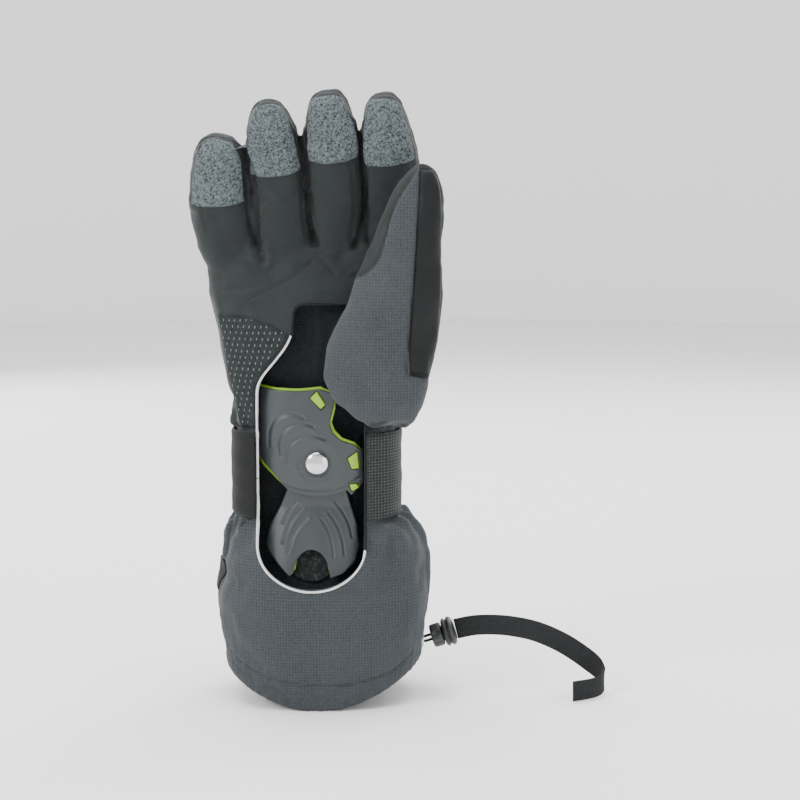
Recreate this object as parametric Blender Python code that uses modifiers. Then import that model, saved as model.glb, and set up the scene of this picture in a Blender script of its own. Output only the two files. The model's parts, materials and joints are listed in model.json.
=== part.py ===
"""Snowboard wrist guard: a right-hand gauntlet glove with a two-plate brace that turns on a rivet.

The glove stands on its cuff. Fingers point up (+Z), the palm faces -Y and the thumb is at +X.
A window in the palm side shows the brace, which lies between the outer shell and the lining.
All driving dimensions are in millimetres; every mesh is made in metres.
"""

import math

import bmesh
import bpy
from mathutils import Matrix, Vector

MM = 0.001
DEPTH_SHIFT = 6.6  # along +Y, which centres the glove's box over the origin

# Walls and the gap that pieces keep between them
SHELL_WALL = 3.2
HAND_WALL = 3.0
LINING_WALL = 1.2
STALL_WALL = 2.2
GAP = 0.35

# Sections of the soft bodies: height, centre x, centre y, half width, half depth
SECTION_POWER = 2.8
GAUNTLET = [
    (0, 2.2, 0, 57.0, 42.0),
    (31, 2.5, 0, 58.0, 43.0),
    (60, 2.7, 0, 59.2, 43.5),
    (83, 3.0, 0, 57.4, 41.5),
    (95, 2.8, 0, 55.0, 38.5),
    (104, 1.4, 0, 50.5, 35.0),
    (108.5, -1.2, 0, 45.0, 31.0),
    (127, -1.2, 0, 45.0, 31.0),
]
GAUNTLET_LINING = [
    (7, 2.3, 0, 51.4, 36.4),
    (45, 2.6, 0, 52.4, 37.2),
    (60, 2.7, 2.0, 52.4, 35.5),
    (75, 2.7, 5.0, 51.0, 31.5),
    (95, 2.4, 6.3, 46.5, 26.0),
    (104, 0.8, 5.5, 42.5, 21.8),
    (109, -1.2, 5.0, 39.0, 20.6),
    (126, -1.2, 5.0, 39.0, 20.6),
]
HAND = [
    (129, -1.2, 0, 44.0, 31.0),
    (158, -1.2, 0, 43.2, 30.6),
    (166, -1.2, 0, 41.8, 30.7),
    (176, 0.6, 0, 48.6, 30.6),
    (190, 0.4, 0, 53.8, 30.6),
    (204, 0.0, -0.5, 56.5, 29.8),
    (232, -0.5, -1.5, 59.5, 25.5),
    (244, -1.2, -2.0, 61.0, 20.5),
    (251, -1.7, -2.0, 61.2, 17.8),
]
HAND_LINING = [
    (131, -1.2, 5.0, 38.5, 20.6),
    (158, -1.2, 5.0, 37.8, 20.4),
    (166, -1.2, 5.0, 36.4, 20.2),
    (176, 0.8, 5.0, 43.5, 20.2),
    (190, 0.4, 4.8, 47.5, 20.2),
    (204, 0.0, 4.0, 50.0, 20.0),
    (232, -0.5, 1.0, 53.5, 18.5),
    (248, -1.6, -2.0, 56.0, 13.5),
]
THUMB = [
    (163, 41.0, -36.0, 8.0, 4.0),
    (168, 39.0, -38.5, 15.0, 9.0),
    (178, 35.5, -42.0, 24.0, 14.0),
    (192, 34.5, -43.5, 28.5, 16.0),
    (209, 37.3, -44.5, 30.5, 16.0),
    (238, 45.0, -46.0, 25.2, 15.0),
    (262, 49.5, -46.5, 20.5, 14.5),
    (285, 55.0, -46.0, 15.3, 13.0),
    (298, 57.8, -45.5, 11.3, 10.2),
    (305, 58.8, -45.5, 6.5, 6.0),
    (308, 58.8, -45.5, 2.5, 2.5),
]
THUMB_POWER = 2.4
THUMB_MOUTH = (41.5, 197.0)
THUMB_MOUTH_RADIUS = 12.0

# Hem: flat on the table in the middle, rising towards both sides
HEM_FLAT = 24.0
HEM_RISE = 22.0
HEM_FADE = 70.0
HEM_HEIGHT = 7.0
HEM_GAP = 0.7

# Hand side starts above a V, so that it can turn over the forearm side
SPLIT_HEIGHT = 129.0
SPLIT_SLOPE = math.tan(math.radians(15))
FOREARM_TOP = 127.0

# Window in the palm side
WINDOW_LEFT = -33.6
WINDOW_RIGHT = 27.3
WINDOW_BOTTOM = 70.0
WINDOW_ARC_TOP = 95.0
WINDOW_CORNER = 3.4
WINDOW_TOP = 230.6
WINDOW_STEP = -12.9  # its upper part starts here, past a slanted edge
WINDOW_SLANT = [(-33.6, 183.6), (-30.4, 190.6), (-12.9, 215.0)]
TRIM_WIDTH = 0.9

# Fingers: base x, belly x, tip x, tip height, curl depth
FINGER_BASE = 251.5
FINGER_BASE_Y = -2.0
FINGERS = {
    "little": (-48.5, -56.0, -52.5, 324.0, 23.0),
    "ring": (-16.6, -21.5, -26.5, 343.0, 25.0),
    "middle": (14.6, 10.5, 6.0, 349.0, 25.0),
    "index": (45.2, 42.8, 37.6, 348.0, 25.0),
}
FINGER_SHAPE = [  # share of the length, half width, half depth
    (0.0, 14.4, 15.6),
    (0.2, 14.4, 15.0),
    (0.4, 14.5, 14.4),
    (0.57, 14.3, 13.8),
    (0.7, 13.9, 13.2),
    (0.84, 12.6, 11.8),
    (0.93, 10.0, 9.4),
    (0.98, 6.6, 6.2),
    (1.0, 2.6, 2.4),
]
FINGER_POWER = 2.3
PAD_SHARES = (0.57, 0.7, 0.84, 0.93)
PAD_HALF_ANGLE = math.radians(56)

# Brace: heights are counted from the rivet's axis
PIVOT_HEIGHT = 140.6
WRIST = (0, 0, PIVOT_HEIGHT)
BEND_START = 13.0
BEND = 0.02
TILT_START = -26.0
TILT = 0.30
HAND_COVER = (-27.6, -25.6)
HAND_CORE = (-25.25, -23.45)
LUG_FRONT = -28.6
PIVOT_WASHER = (-23.1, -22.4)
FOREARM_COVER = (-22.1, -20.3)
FOREARM_CORE = (-19.95, -18.35)
RIVET_BURR = (-18.0, -16.6)
PAD = (-17.95, -16.8)
RIVET_RADIUS = 3.0
RIVET_TAIL = -16.2
RIVET_HEAD_RADIUS = 6.65
RIVET_HEAD_HEIGHT = 3.0
PLATE_HOLE = 3.4

# Strap
STRAP = (-1.2, 0, 47.5, 33.4)
STRAP_BOTTOM = 109.0
STRAP_TOP = 158.0
WEBBING = (0.35, 1.75)
ELASTIC = (0.35, 1.75)
OVERLAP_LIFT = 2.9
HOOK_PATCH = (2.1, 2.85)
STRAP_HINGE_X = -45.5

# Drawcord, cord lock and leash
CORD_RADIUS = 0.95
CORD_INSET = 4.55
CORD_HEIGHT = 14.0
EYELET = (2.7, 3.1, 4.8)
EXIT_X = 59.8  # the cuff's side at the cord's height
LOCK_Z = CORD_HEIGHT + HEM_RISE * (1 - CORD_HEIGHT / HEM_FADE)
LOCK_TILT = math.radians(18)
LOCK_BEND = 1.5  # past the cuff, where the cord turns up to the lock's axis
LOCK_START = 4.4  # along the axis from there
STRAND = 1.2  # each of the two strands runs this far from the axis
LEASH_WIDTH = 12.0
LEASH_THICKNESS = 1.2

RING = 32


class Skin:
    """A soft body as superellipse sections stacked along Z."""

    def __init__(self, rows, power=SECTION_POWER):
        self.rows, self.power = rows, power

    def section(self, z):
        rows = self.rows
        z = min(max(z, rows[0][0]), rows[-1][0])
        for low, high in zip(rows, rows[1:]):
            if z <= high[0]:
                t = (z - low[0]) / (high[0] - low[0])
                return [a + (b - a) * t for a, b in zip(low[1:], high[1:])]

    def point(self, z, angle, grow=0.0):
        cx, cy, a, b = self.section(z)
        x, y = ring_point(a + grow, b + grow, angle, self.power)
        return Vector((cx + x, cy + y, z))

    def depth(self, x, z, side, grow=0.0):
        """The surface's y at x: side -1 is the palm side and +1 the back."""
        cx, cy, a, b = self.section(z)
        share = min(abs((x - cx) / (a + grow)), 1.0)
        return cy + side * (b + grow) * (1 - share**self.power) ** (1 / self.power)

    def angle_at(self, x, z, side):
        cx, cy, _, _ = self.section(z)
        return math.atan2(self.depth(x, z, side) - cy, x - cx)


def ring_point(a, b, angle, power):
    c, s = math.cos(angle), math.sin(angle)
    radius = ((abs(c) / a) ** power + (abs(s) / b) ** power) ** (-1 / power)
    return radius * c, radius * s


def angles(count, start=0.0, turn=2 * math.pi):
    return [start + turn * i / count for i in range(count)]


def spread(low, high, count):
    """count numbers from low to high, both included."""
    return [low + (high - low) * i / (count - 1) for i in range(count)]


def smooth(t):
    t = min(max(t, 0.0), 1.0)
    return t * t * (3 - 2 * t)


def hem_rise(x):
    return HEM_RISE * smooth((abs(x) - HEM_FLAT) / (57 - HEM_FLAT))


def material(name, color, roughness, metallic=0.0):
    made = bpy.data.materials.get(name)
    if made is None:
        made = bpy.data.materials.new(name)
        made.use_nodes = True
        shader = made.node_tree.nodes["Principled BSDF"]
        shader.inputs["Base Color"].default_value = (*color, 1)
        shader.inputs["Roughness"].default_value = roughness
        shader.inputs["Metallic"].default_value = metallic
    return made


FABRIC = ("heather_fabric", (0.055, 0.06, 0.065), 0.9)
LEATHER = ("palm_leather", (0.035, 0.04, 0.042), 0.6)
GRIP = ("fingertip_grip", (0.12, 0.14, 0.15), 0.8)
LINER = ("black_lining", (0.008, 0.012, 0.018), 0.95)
PLATE = ("plate_rubber", (0.09, 0.1, 0.11), 0.5)
LIME = ("lime_plastic", (0.36, 0.6, 0.08), 0.45)
STEEL = ("rivet_steel", (0.8, 0.8, 0.8), 0.2, 1.0)
WEB = ("strap_webbing", (0.02, 0.021, 0.023), 0.9)
RUBBER = ("tab_rubber", (0.045, 0.048, 0.052), 0.6)
LABEL = ("woven_label", (0.012, 0.012, 0.014), 0.8)
SILVER = ("reflective_print", (0.5, 0.52, 0.53), 0.4)
TRIM = ("window_edge", (0.8, 0.8, 0.8), 0.7)
PLASTIC = ("clip_plastic", (0.03, 0.031, 0.033), 0.5)
NYLON = ("washer_nylon", (0.6, 0.6, 0.58), 0.5)


def mesh_object(name, points, faces, look, collection, origin=(0, 0, 0)):
    """An object from points in millimetres, whose own origin is at the given place."""
    shift = Vector((0, DEPTH_SHIFT, 0))
    start = Vector(origin) + (shift if any(origin) else Vector())
    mesh = bpy.data.meshes.new(name)
    mesh.from_pydata([(Vector(p) + shift - start) * MM for p in points], [], faces)
    made = bmesh.new()
    made.from_mesh(mesh)
    bmesh.ops.recalc_face_normals(made, faces=made.faces)
    made.to_mesh(mesh)
    made.free()
    mesh.shade_smooth()
    mesh.set_sharp_from_angle(angle=math.radians(35))
    obj = bpy.data.objects.new(name, mesh)
    obj.location = start * MM
    collection.objects.link(obj)
    if look:
        mesh.materials.append(material(*look))
    return obj


def rings_object(name, rings, look, collection, wrap=False, origin=(0, 0, 0)):
    """Quads between neighbouring rings. The last ring joins the first, or both ends are filled."""
    count = len(rings[0])
    points = [p for ring in rings for p in ring]
    faces = []
    for i in range(len(rings) if wrap else len(rings) - 1):
        low, high = i * count, (i + 1) % len(rings) * count
        for j in range(count):
            k = (j + 1) % count
            faces.append((low + j, low + k, high + k, high + j))
    if not wrap:
        faces.append(tuple(range(count)))
        faces.append(tuple(range(len(points) - count, len(points))))
    return mesh_object(name, points, faces, look, collection, origin)


def cutter(made):
    made.hide_render = True
    made.display_type = "WIRE"
    return made


def boolean(obj, other, operation="DIFFERENCE"):
    modifier = obj.modifiers.new(other.name, "BOOLEAN")
    modifier.operation = operation
    modifier.object = other
    modifier.solver = "EXACT"


def wall_rings(skin, heights, wall, lower_edge=None, grow=0.0):
    """Rings of a tube's wall: up its outside and down its inside."""
    rings = []
    for inset, run in ((0.0, heights), (wall, heights[::-1])):
        for z in run:
            ring = [skin.point(z, angle, grow - inset) for angle in angles(RING)]
            if lower_edge:
                ring = [
                    Vector((p.x, p.y, lower_edge(skin.point(z, angle).x, z)))
                    for p, angle in zip(ring, angles(RING))
                ]
            rings.append(ring)
    return rings


def hem_edge(x, z):
    return z + hem_rise(x) * max(0.0, 1 - z / HEM_FADE)


def split_edge(bottom, top):
    """Lifts a tube's lower end into a V and leaves its upper end level."""

    def lifted(x, z):
        share = max(0.0, 1 - (z - bottom) / (top - bottom))
        return z + abs(x) * SPLIT_SLOPE * share

    return lifted


def skin_patch(name, skin, rows, layer, look, collection, origin=(0, 0, 0), lift=None, steps=8):
    """A thin piece that follows a skin: rows are height, first angle, last angle."""
    rings = []
    for z, start, end in rows:
        run = spread(start, end, steps)
        outer = [skin.point(z, a, layer[1] + (lift(skin, z, a) if lift else 0)) for a in run]
        inner = [skin.point(z, a, layer[0] + (lift(skin, z, a) if lift else 0)) for a in run]
        rings.append(outer + inner[::-1])
    return rings_object(name, rings, look, collection, origin=origin)


def flat_outline(outlines):
    """A filled flat shape from closed outlines, of which inner ones are holes, as points and faces."""
    curve = bpy.data.curves.new("outline", "CURVE")
    curve.dimensions = "2D"
    curve.fill_mode = "BOTH"
    curve.extrude = 0.5
    for outline in outlines:
        spline = curve.splines.new("POLY")
        spline.points.add(len(outline) - 1)
        for point, (x, y) in zip(spline.points, outline):
            point.co = (x, y, 0, 1)
        spline.use_cyclic_u = True
    holder = bpy.data.objects.new("outline", curve)
    bpy.context.scene.collection.objects.link(holder)
    bpy.context.view_layer.update()
    graph = bpy.context.evaluated_depsgraph_get()
    mesh = bpy.data.meshes.new_from_object(holder.evaluated_get(graph))
    bpy.data.objects.remove(holder)
    made = bmesh.new()
    made.from_mesh(mesh)
    bmesh.ops.remove_doubles(made, verts=made.verts, dist=1e-4)
    bpy.data.meshes.remove(mesh)
    return made


def brace_plate(name, outlines, layer, look, collection, origin=(0, 0, 0)):
    """A plate of the brace, bent round the wrist and tilted out along the cuff."""
    made = flat_outline(outlines)
    cuts = [((x, 0, 0), (1, 0, 0)) for x in (-31, -26, -21, -17, -13, 13, 17, 21, 26)]
    cuts += [((0, z, 0), (0, 1, 0)) for z in (TILT_START, -45)]
    for place, normal in cuts:
        everything = made.verts[:] + made.edges[:] + made.faces[:]
        bmesh.ops.bisect_plane(made, geom=everything, plane_co=place, plane_no=normal, dist=1e-4)
    made.verts.ensure_lookup_table()
    points = []
    for v in made.verts:
        x, z = v.co.x, v.co.y
        y = layer[0] if v.co.z > 0 else layer[1]
        y += BEND * max(0.0, abs(x) - BEND_START) ** 2
        y -= TILT * max(0.0, TILT_START - z)
        points.append((x, y, z + PIVOT_HEIGHT))
    faces = [tuple(v.index for v in face.verts) for face in made.faces]
    made.free()
    return mesh_object(name, points, faces, look, collection, origin)


def turned(name, profile, place, axis, look, collection, steps=24):
    """A turned piece: profile is radius and distance along the axis, down its outer side."""
    mesh = bpy.data.meshes.new(name)
    closed = profile[0][0] > 0
    edges = [(i, i + 1) for i in range(len(profile) - 1)]
    if closed:
        edges.append((len(profile) - 1, 0))
    mesh.from_pydata([(r * MM, 0, h * MM) for r, h in profile], edges, [])
    obj = bpy.data.objects.new(name, mesh)
    collection.objects.link(obj)
    turn = Vector((0, 0, 1)).rotation_difference(Vector(axis)).to_matrix().to_4x4()
    start = Vector(place) + Vector((0, DEPTH_SHIFT, 0))
    obj.matrix_world = Matrix.Translation(start * MM) @ turn
    screw = obj.modifiers.new("turn", "SCREW")
    screw.steps = screw.render_steps = steps
    screw.use_merge_vertices = True
    screw.merge_threshold = 1e-6
    if look:
        mesh.materials.append(material(*look))
    return obj


def arc(centre, radii, start, end, count):
    """Points along an ellipse's arc, angles in degrees."""
    run = [math.radians(a) for a in spread(start, end, count)]
    return [(centre[0] + radii[0] * math.cos(a), centre[1] + radii[1] * math.sin(a)) for a in run]


def window_sill():
    """The window's lower edge, from its left side round to its right."""
    middle = (WINDOW_LEFT + WINDOW_RIGHT) / 2
    radii = ((WINDOW_RIGHT - WINDOW_LEFT) / 2, WINDOW_ARC_TOP - WINDOW_BOTTOM)
    return arc((middle, WINDOW_ARC_TOP), radii, 180, 360, 17)


def window_head():
    """The window's upper edge, from its left side to its top right."""
    corner = (WINDOW_STEP + WINDOW_CORNER, WINDOW_TOP - WINDOW_CORNER)
    rounded = arc(corner, (WINDOW_CORNER, WINDOW_CORNER), 180, 90, 5)
    return WINDOW_SLANT + rounded


def window_cutter(cutters):
    outline = window_sill() + [(WINDOW_RIGHT, WINDOW_TOP)] + window_head()[::-1]
    made = flat_outline([outline])
    made.verts.ensure_lookup_table()
    points = [(v.co.x, -70 if v.co.z > 0 else -19.0, v.co.y) for v in made.verts]
    faces = [tuple(v.index for v in face.verts) for face in made.faces]
    made.free()
    return cutter(mesh_object("window_cutter", points, faces, None, cutters))


def edge_strip(name, path, side, skin, wall, look, collection, origin=(0, 0, 0)):
    """A binding along the window's edge, just inside the cut: side +1 is left of the path."""
    rings = []
    for i, (x, z) in enumerate(path):
        before, after = path[max(i - 1, 0)], path[min(i + 1, len(path) - 1)]
        along = Vector((after[0] - before[0], after[1] - before[1])).normalized()
        inward = Vector((-along.y, along.x)) * side
        front = skin.depth(x, z, -1) - 0.5
        back = front + wall - 0.2
        near = Vector((x, z)) + inward * GAP
        far = Vector((x, z)) + inward * (GAP + TRIM_WIDTH)
        rings.append([(p.x, y, p.y) for p, y in ((near, front), (far, front), (far, back), (near, back))])
    return rings_object(name, rings, look, collection, origin=origin)


# Soft shells ------------------------------------------------------------------------------------


def gauntlet(skin, lining, parts, cutters, window):
    heights = [HEM_HEIGHT + HEM_GAP, 22, 40, 60, 83, 95, 104, 108.5, FOREARM_TOP]
    shell = rings_object(
        "gauntlet_shell", wall_rings(skin, heights, SHELL_WALL, hem_edge), FABRIC, parts, wrap=True
    )
    boolean(shell, window)
    hole = turned(
        "eyelet_cutter",
        [(0, 6), (EYELET[1] + GAP, 6), (EYELET[1] + GAP, -6), (0, -6)],
        (EXIT_X, 0, LOCK_Z), (1, 0, 0), None, cutters,
    )
    boolean(shell, cutter(hole))
    binding = wall_rings(skin, [0, 3.5, HEM_HEIGHT], SHELL_WALL + 1.2, hem_edge, grow=0.8)
    rings_object("hem_binding", binding, WEB, parts, wrap=True)
    heights = [HEM_HEIGHT + HEM_GAP, 22, 45, 60, 75, 95, 104, 109, FOREARM_TOP - 1]
    rings_object(
        "gauntlet_lining", wall_rings(lining, heights, LINING_WALL, hem_edge), LINER, parts, wrap=True
    )
    edge_strip(
        "window_edge_lower", [(WINDOW_LEFT, FOREARM_TOP - 0.5), (WINDOW_LEFT, 110)] + window_sill(),
        1, skin, SHELL_WALL, TRIM, parts,
    )


def hand_shell(skin, lining, parts, cutters, window, mouth):
    heights = [SPLIT_HEIGHT, 140, 150, 158, 166, 176, 190, 204, 218, 232, 244, FINGER_BASE - 0.6]
    rings = wall_rings(skin, heights, HAND_WALL, split_edge(SPLIT_HEIGHT, 200))
    shell = rings_object("hand_shell", rings, FABRIC, parts, wrap=True, origin=WRIST)
    boolean(shell, window)
    boolean(shell, mouth)
    heights = [SPLIT_HEIGHT + 2, 145, 158, 166, 176, 190, 204, 232, 248]
    rings = wall_rings(lining, heights, LINING_WALL, split_edge(SPLIT_HEIGHT + 2, 200))
    inside = rings_object("hand_lining", rings, LINER, parts, wrap=True, origin=WRIST)
    boolean(inside, mouth)
    path = [(WINDOW_LEFT, 141.0), (WINDOW_LEFT, 160.0)] + window_head() + [(14.0, WINDOW_TOP)]
    edge_strip("window_edge_upper", path, -1, skin, HAND_WALL, TRIM, parts, WRIST)


def finger_section(spec, t):
    """A finger's section at share t of its length: centre, its two directions and its half sizes."""
    base_x, belly_x, tip_x, tip_z, curl = spec

    def centre(s):
        x = (1 - s) ** 2 * base_x + 2 * s * (1 - s) * (2 * belly_x - (base_x + tip_x) / 2) + s**2 * tip_x
        return Vector((x, FINGER_BASE_Y - curl * s**1.8, FINGER_BASE + (tip_z - FINGER_BASE) * s))

    for low, high in zip(FINGER_SHAPE, FINGER_SHAPE[1:]):
        if t <= high[0]:
            share = (t - low[0]) / (high[0] - low[0])
            a, b = (low[k] + (high[k] - low[k]) * share for k in (1, 2))
            break
    along = (centre(min(t + 0.02, 1)) - centre(t - 0.02)).normalized() if t > 0.05 else Vector((0, 0, 1))
    across = (Vector((1, 0, 0)) - along * along.x).normalized()
    return centre(t), across, along.cross(across), a, b


def finger_ring(spec, t, grow, run):
    middle, across, back, a, b = finger_section(spec, t)
    ring = []
    for angle in run:
        x, y = ring_point(a + grow, b + grow, angle, FINGER_POWER)
        ring.append(middle + across * x + back * y)
    return ring


def finger_depth(spec, x):
    """The back of a finger's base at x."""
    a, b = FINGER_SHAPE[0][1:]
    share = min(abs((x - spec[0]) / a), 1.0)
    return FINGER_BASE_Y + b * (1 - share**FINGER_POWER) ** (1 / FINGER_POWER)


def finger(name, spec, parts):
    """A hollow finger stall and the grip patch on its palm side."""
    shares = [row[0] for row in FINGER_SHAPE]
    run = angles(16)
    rings = [finger_ring(spec, t, 0, run) for t in shares[::-1]]
    rings += [finger_ring(spec, t, -STALL_WALL, run) for t in shares[:-2]]
    rings_object(f"finger_{name}", rings, FABRIC, parts, origin=WRIST)
    palm = -math.pi / 2
    run = spread(palm - PAD_HALF_ANGLE, palm + PAD_HALF_ANGLE, 8)
    rings = []
    for t in PAD_SHARES:
        outer, inner = (finger_ring(spec, t, grow, run) for grow in (1.6, 0.7))
        rings.append(outer + inner[::-1])
    rings_object(f"fingertip_{name}", rings, GRIP, parts, origin=WRIST)


def thumb(skin, hand, parts, cutters, mouth):
    """The thumb's stall lies against the palm, and its back is open through the mouth."""

    def ring(z, grow, gap):
        points = [skin.point(z, angle, grow) for angle in angles(20)]
        return [Vector((p.x, min(p.y, hand.depth(p.x, z, -1) - gap), z)) for p in points]

    heights = [row[0] for row in THUMB]
    stall = rings_object("thumb", [ring(z, 0, 0.5) for z in heights], FABRIC, parts, origin=WRIST)
    hollow = [ring(z, -STALL_WALL, 0.5 + STALL_WALL) for z in (172, 178, 192, 209, 238, 262, 285, 298, 303)]
    boolean(stall, cutter(rings_object("thumb_cutter", hollow, None, cutters)))
    boolean(stall, mouth)
    rows = [(z, math.radians(-62), math.radians(8)) for z in (209, 238, 262, 285, 298)]
    skin_patch("thumb_panel", skin, rows, (0.7, 1.5), LEATHER, parts, WRIST, steps=7)


def palm_pieces(hand, parts):
    """Patches sewn onto the hand: palm grip, back patch and badge."""
    rings = []
    for z, left, right in ((170, -44, -35.5), (184, -50, -35.5), (199, -53, -27), (212, -55, -17.5)):
        run = spread(left, right, 7)
        outer = [(x, hand.depth(x, z, -1, 1.9), z) for x in run]
        inner = [(x, hand.depth(x, z, -1, 0.9), z) for x in run]
        rings.append(outer + inner[::-1])
    rings_object("palm_grip", rings, LEATHER, parts, origin=WRIST)
    rings = []
    index = FINGERS["index"]
    for z, half in ((227, 3.0), (234, 5.4), (244, 6.0), (250, 6.0)):
        run = spread(index[0] + half, index[0] - half, 4)
        share = smooth((z - 234) / 16)
        top = [hand.depth(x, z, 1) * (1 - share) + finger_depth(index, x) * share for x in run]
        top = [max(y, hand.depth(x, z, 1)) for x, y in zip(run, top)]
        outer = [(x, y + 1.8, z) for x, y in zip(run, top)]
        inner = [(x, y + 0.6, z) for x, y in zip(run, top)]
        rings.append(outer + inner[::-1])
    run = spread(math.radians(66), math.radians(114), 4)
    for t in (0.06, 0.2, 0.3):
        outer, inner = (finger_ring(index, t, grow, run) for grow in (1.8, 0.6))
        rings.append([tuple(p) for p in outer + inner[::-1]])
    rings_object("index_patch", rings, SILVER, parts, origin=WRIST)
    centre = (196.0, hand.angle_at(-44.0, 196.0, 1))

    def on_badge(radius, turn, grow):
        z = centre[0] + radius * 1.6 * math.sin(turn)
        return hand.point(z, centre[1] - radius * math.cos(turn) / 46.0, grow)

    rings = [
        [on_badge(r, turn, grow) for r, grow in ((7.6, 2.4), (10.4, 2.0), (10.6, 0.4), (7.4, 0.4))]
        for turn in angles(24)
    ]
    rings_object("badge_ring", rings, RUBBER, parts, wrap=True, origin=WRIST)
    profile = ((1, 1.9), (7.0, 1.7), (7.0, 0.4), (1, 0.4))
    rings = [[on_badge(r, turn, grow) for turn in angles(24)] for r, grow in profile]
    rings_object("badge_disc", rings, SILVER, parts, origin=WRIST)


# Brace ------------------------------------------------------------------------------------------


def hand_plate_outline(grow=0.0):
    """The hand plate seen from the palm, round the rivet: the core shows a rim where it grows."""
    top = [(-34.0, 43.0 + grow), (-22.0, 41.4 + grow), (-10.0, 41.0 + grow), (-5.0, 41.4 + grow)]
    notch = [(10.6, 39.5), (9.2 + grow, 31.0), (7.2 + grow, 23.0), (8.7 + grow, 17.6 + grow)]
    lobe = [(13.5 + grow / 2, 13.0 + grow), (21.5, 10.2 + grow), (26.0, 6.6), (26.3, -11.5), (19.5, -18.6)]
    sole = arc((0.4, 28.0), (46.8, 46.8), 291, 249, 6)
    left = [(-30.4 - grow, -0.4 - grow), (-34.0, 4.0 - grow)]
    return top + [(2.0, 42.2 + grow)] + notch + lobe + sole + left


LUGS = [
    [(-3.6, 37.2), (0.3, 41.0), (5.0, 33.6), (2.4, 31.0)],
    [(17.4, 2.7), (22.9, 6.6), (24.0, -3.0), (19.8, -3.4)],
    [(18.3, -12.2), (22.4, -11.8), (24.0, -14.0), (19.8, -16.2)],
]


def grown(outline, by):
    middle = Vector((sum(p[0] for p in outline), sum(p[1] for p in outline))) / len(outline)
    return [tuple(Vector(p) + (Vector(p) - middle).normalized() * by) for p in outline]


def hand_plate(parts, cutters):
    hole = arc((0, 0), (PLATE_HOLE, PLATE_HOLE), 0, 345, 24)
    cover = brace_plate("hand_plate_cover", [hand_plate_outline(), hole], HAND_COVER, PLATE, parts, WRIST)
    core = brace_plate("hand_plate_core", [hand_plate_outline(1.3), hole], HAND_CORE, LIME, parts, WRIST)
    for number, outline in enumerate(LUGS, 1):
        window = brace_plate(f"lug_window_{number}", [grown(outline, 0.45)], (-31, -25.3), None, cutters)
        boolean(cover, cutter(window))
        lug = brace_plate(f"lug_{number}", [outline], (LUG_FRONT, HAND_CORE[1] - 0.6), None, cutters)
        boolean(core, cutter(lug), "UNION")


def forearm_plate_outline(inset=0.0):
    head = arc((0, 0), (18.5 - inset, 18.5 - inset), -35, 215, 14)
    left = [(-21.5, -25.8), (-26.8, -35.5), (-29.4, -46.1), (-28.1, -50.8), (-22.4, -58.1), (-15.8, -64.4)]
    notch = arc((-3.3, -63.5), (10.2, 14.0), 175, 5, 9)
    right = [(7.6, -65.4), (14.6, -62.7), (21.5, -56.4), (23.8, -47.8), (22.5, -35.5), (18.3, -22.5)]
    if inset:
        left, notch, right = ([(x * 0.93, z * 0.985 + 0.8) for x, z in run] for run in (left, notch, right))
    return head + left + notch + right


def forearm_plate(parts):
    hole = arc((0, 0), (PLATE_HOLE, PLATE_HOLE), 0, 345, 24)
    brace_plate("forearm_plate_cover", [forearm_plate_outline(), hole], FOREARM_COVER, PLATE, parts)
    brace_plate("forearm_plate_core", [forearm_plate_outline(1.5), hole], FOREARM_CORE, LIME, parts)
    brace_plate("forearm_pad", [arc((-3.3, -58.5), (12.5, 9.5), 0, 348, 24)], PAD, LINER, parts)


def rivet(parts):
    """The pivot: a domed head in front, the shank through both plates and a burr at the back."""
    head = HAND_COVER[0] - 0.3
    dome = [(0, RIVET_HEAD_HEIGHT)] + [
        (RIVET_HEAD_RADIUS * math.sin(a), RIVET_HEAD_HEIGHT * (0.35 + 0.65 * math.cos(a)))
        for a in spread(0.25, math.pi / 2, 7)
    ]
    tail = head - RIVET_TAIL
    profile = dome + [(RIVET_HEAD_RADIUS - 0.3, 0), (RIVET_RADIUS, 0), (RIVET_RADIUS, tail), (0, tail)]
    turned("pivot_rivet", profile, (0, head, PIVOT_HEIGHT), (0, -1, 0), STEEL, parts)
    for name, layer, radius, look in (
        ("pivot_washer", PIVOT_WASHER, 8.5, NYLON),
        ("rivet_burr", RIVET_BURR, 5.5, STEEL),
    ):
        thick = layer[1] - layer[0]
        ring = [(RIVET_RADIUS + GAP, thick), (radius, thick), (radius, 0), (RIVET_RADIUS + GAP, 0)]
        turned(name, ring, (0, layer[1], PIVOT_HEIGHT), (0, -1, 0), look, parts)


# Strap ------------------------------------------------------------------------------------------


def strap_lift(skin, z, angle):
    """The flap rises over the elastic's end as it runs towards the tab."""
    x = skin.point(z, angle).x
    return OVERLAP_LIFT * smooth((x + 38) / 20)


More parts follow.
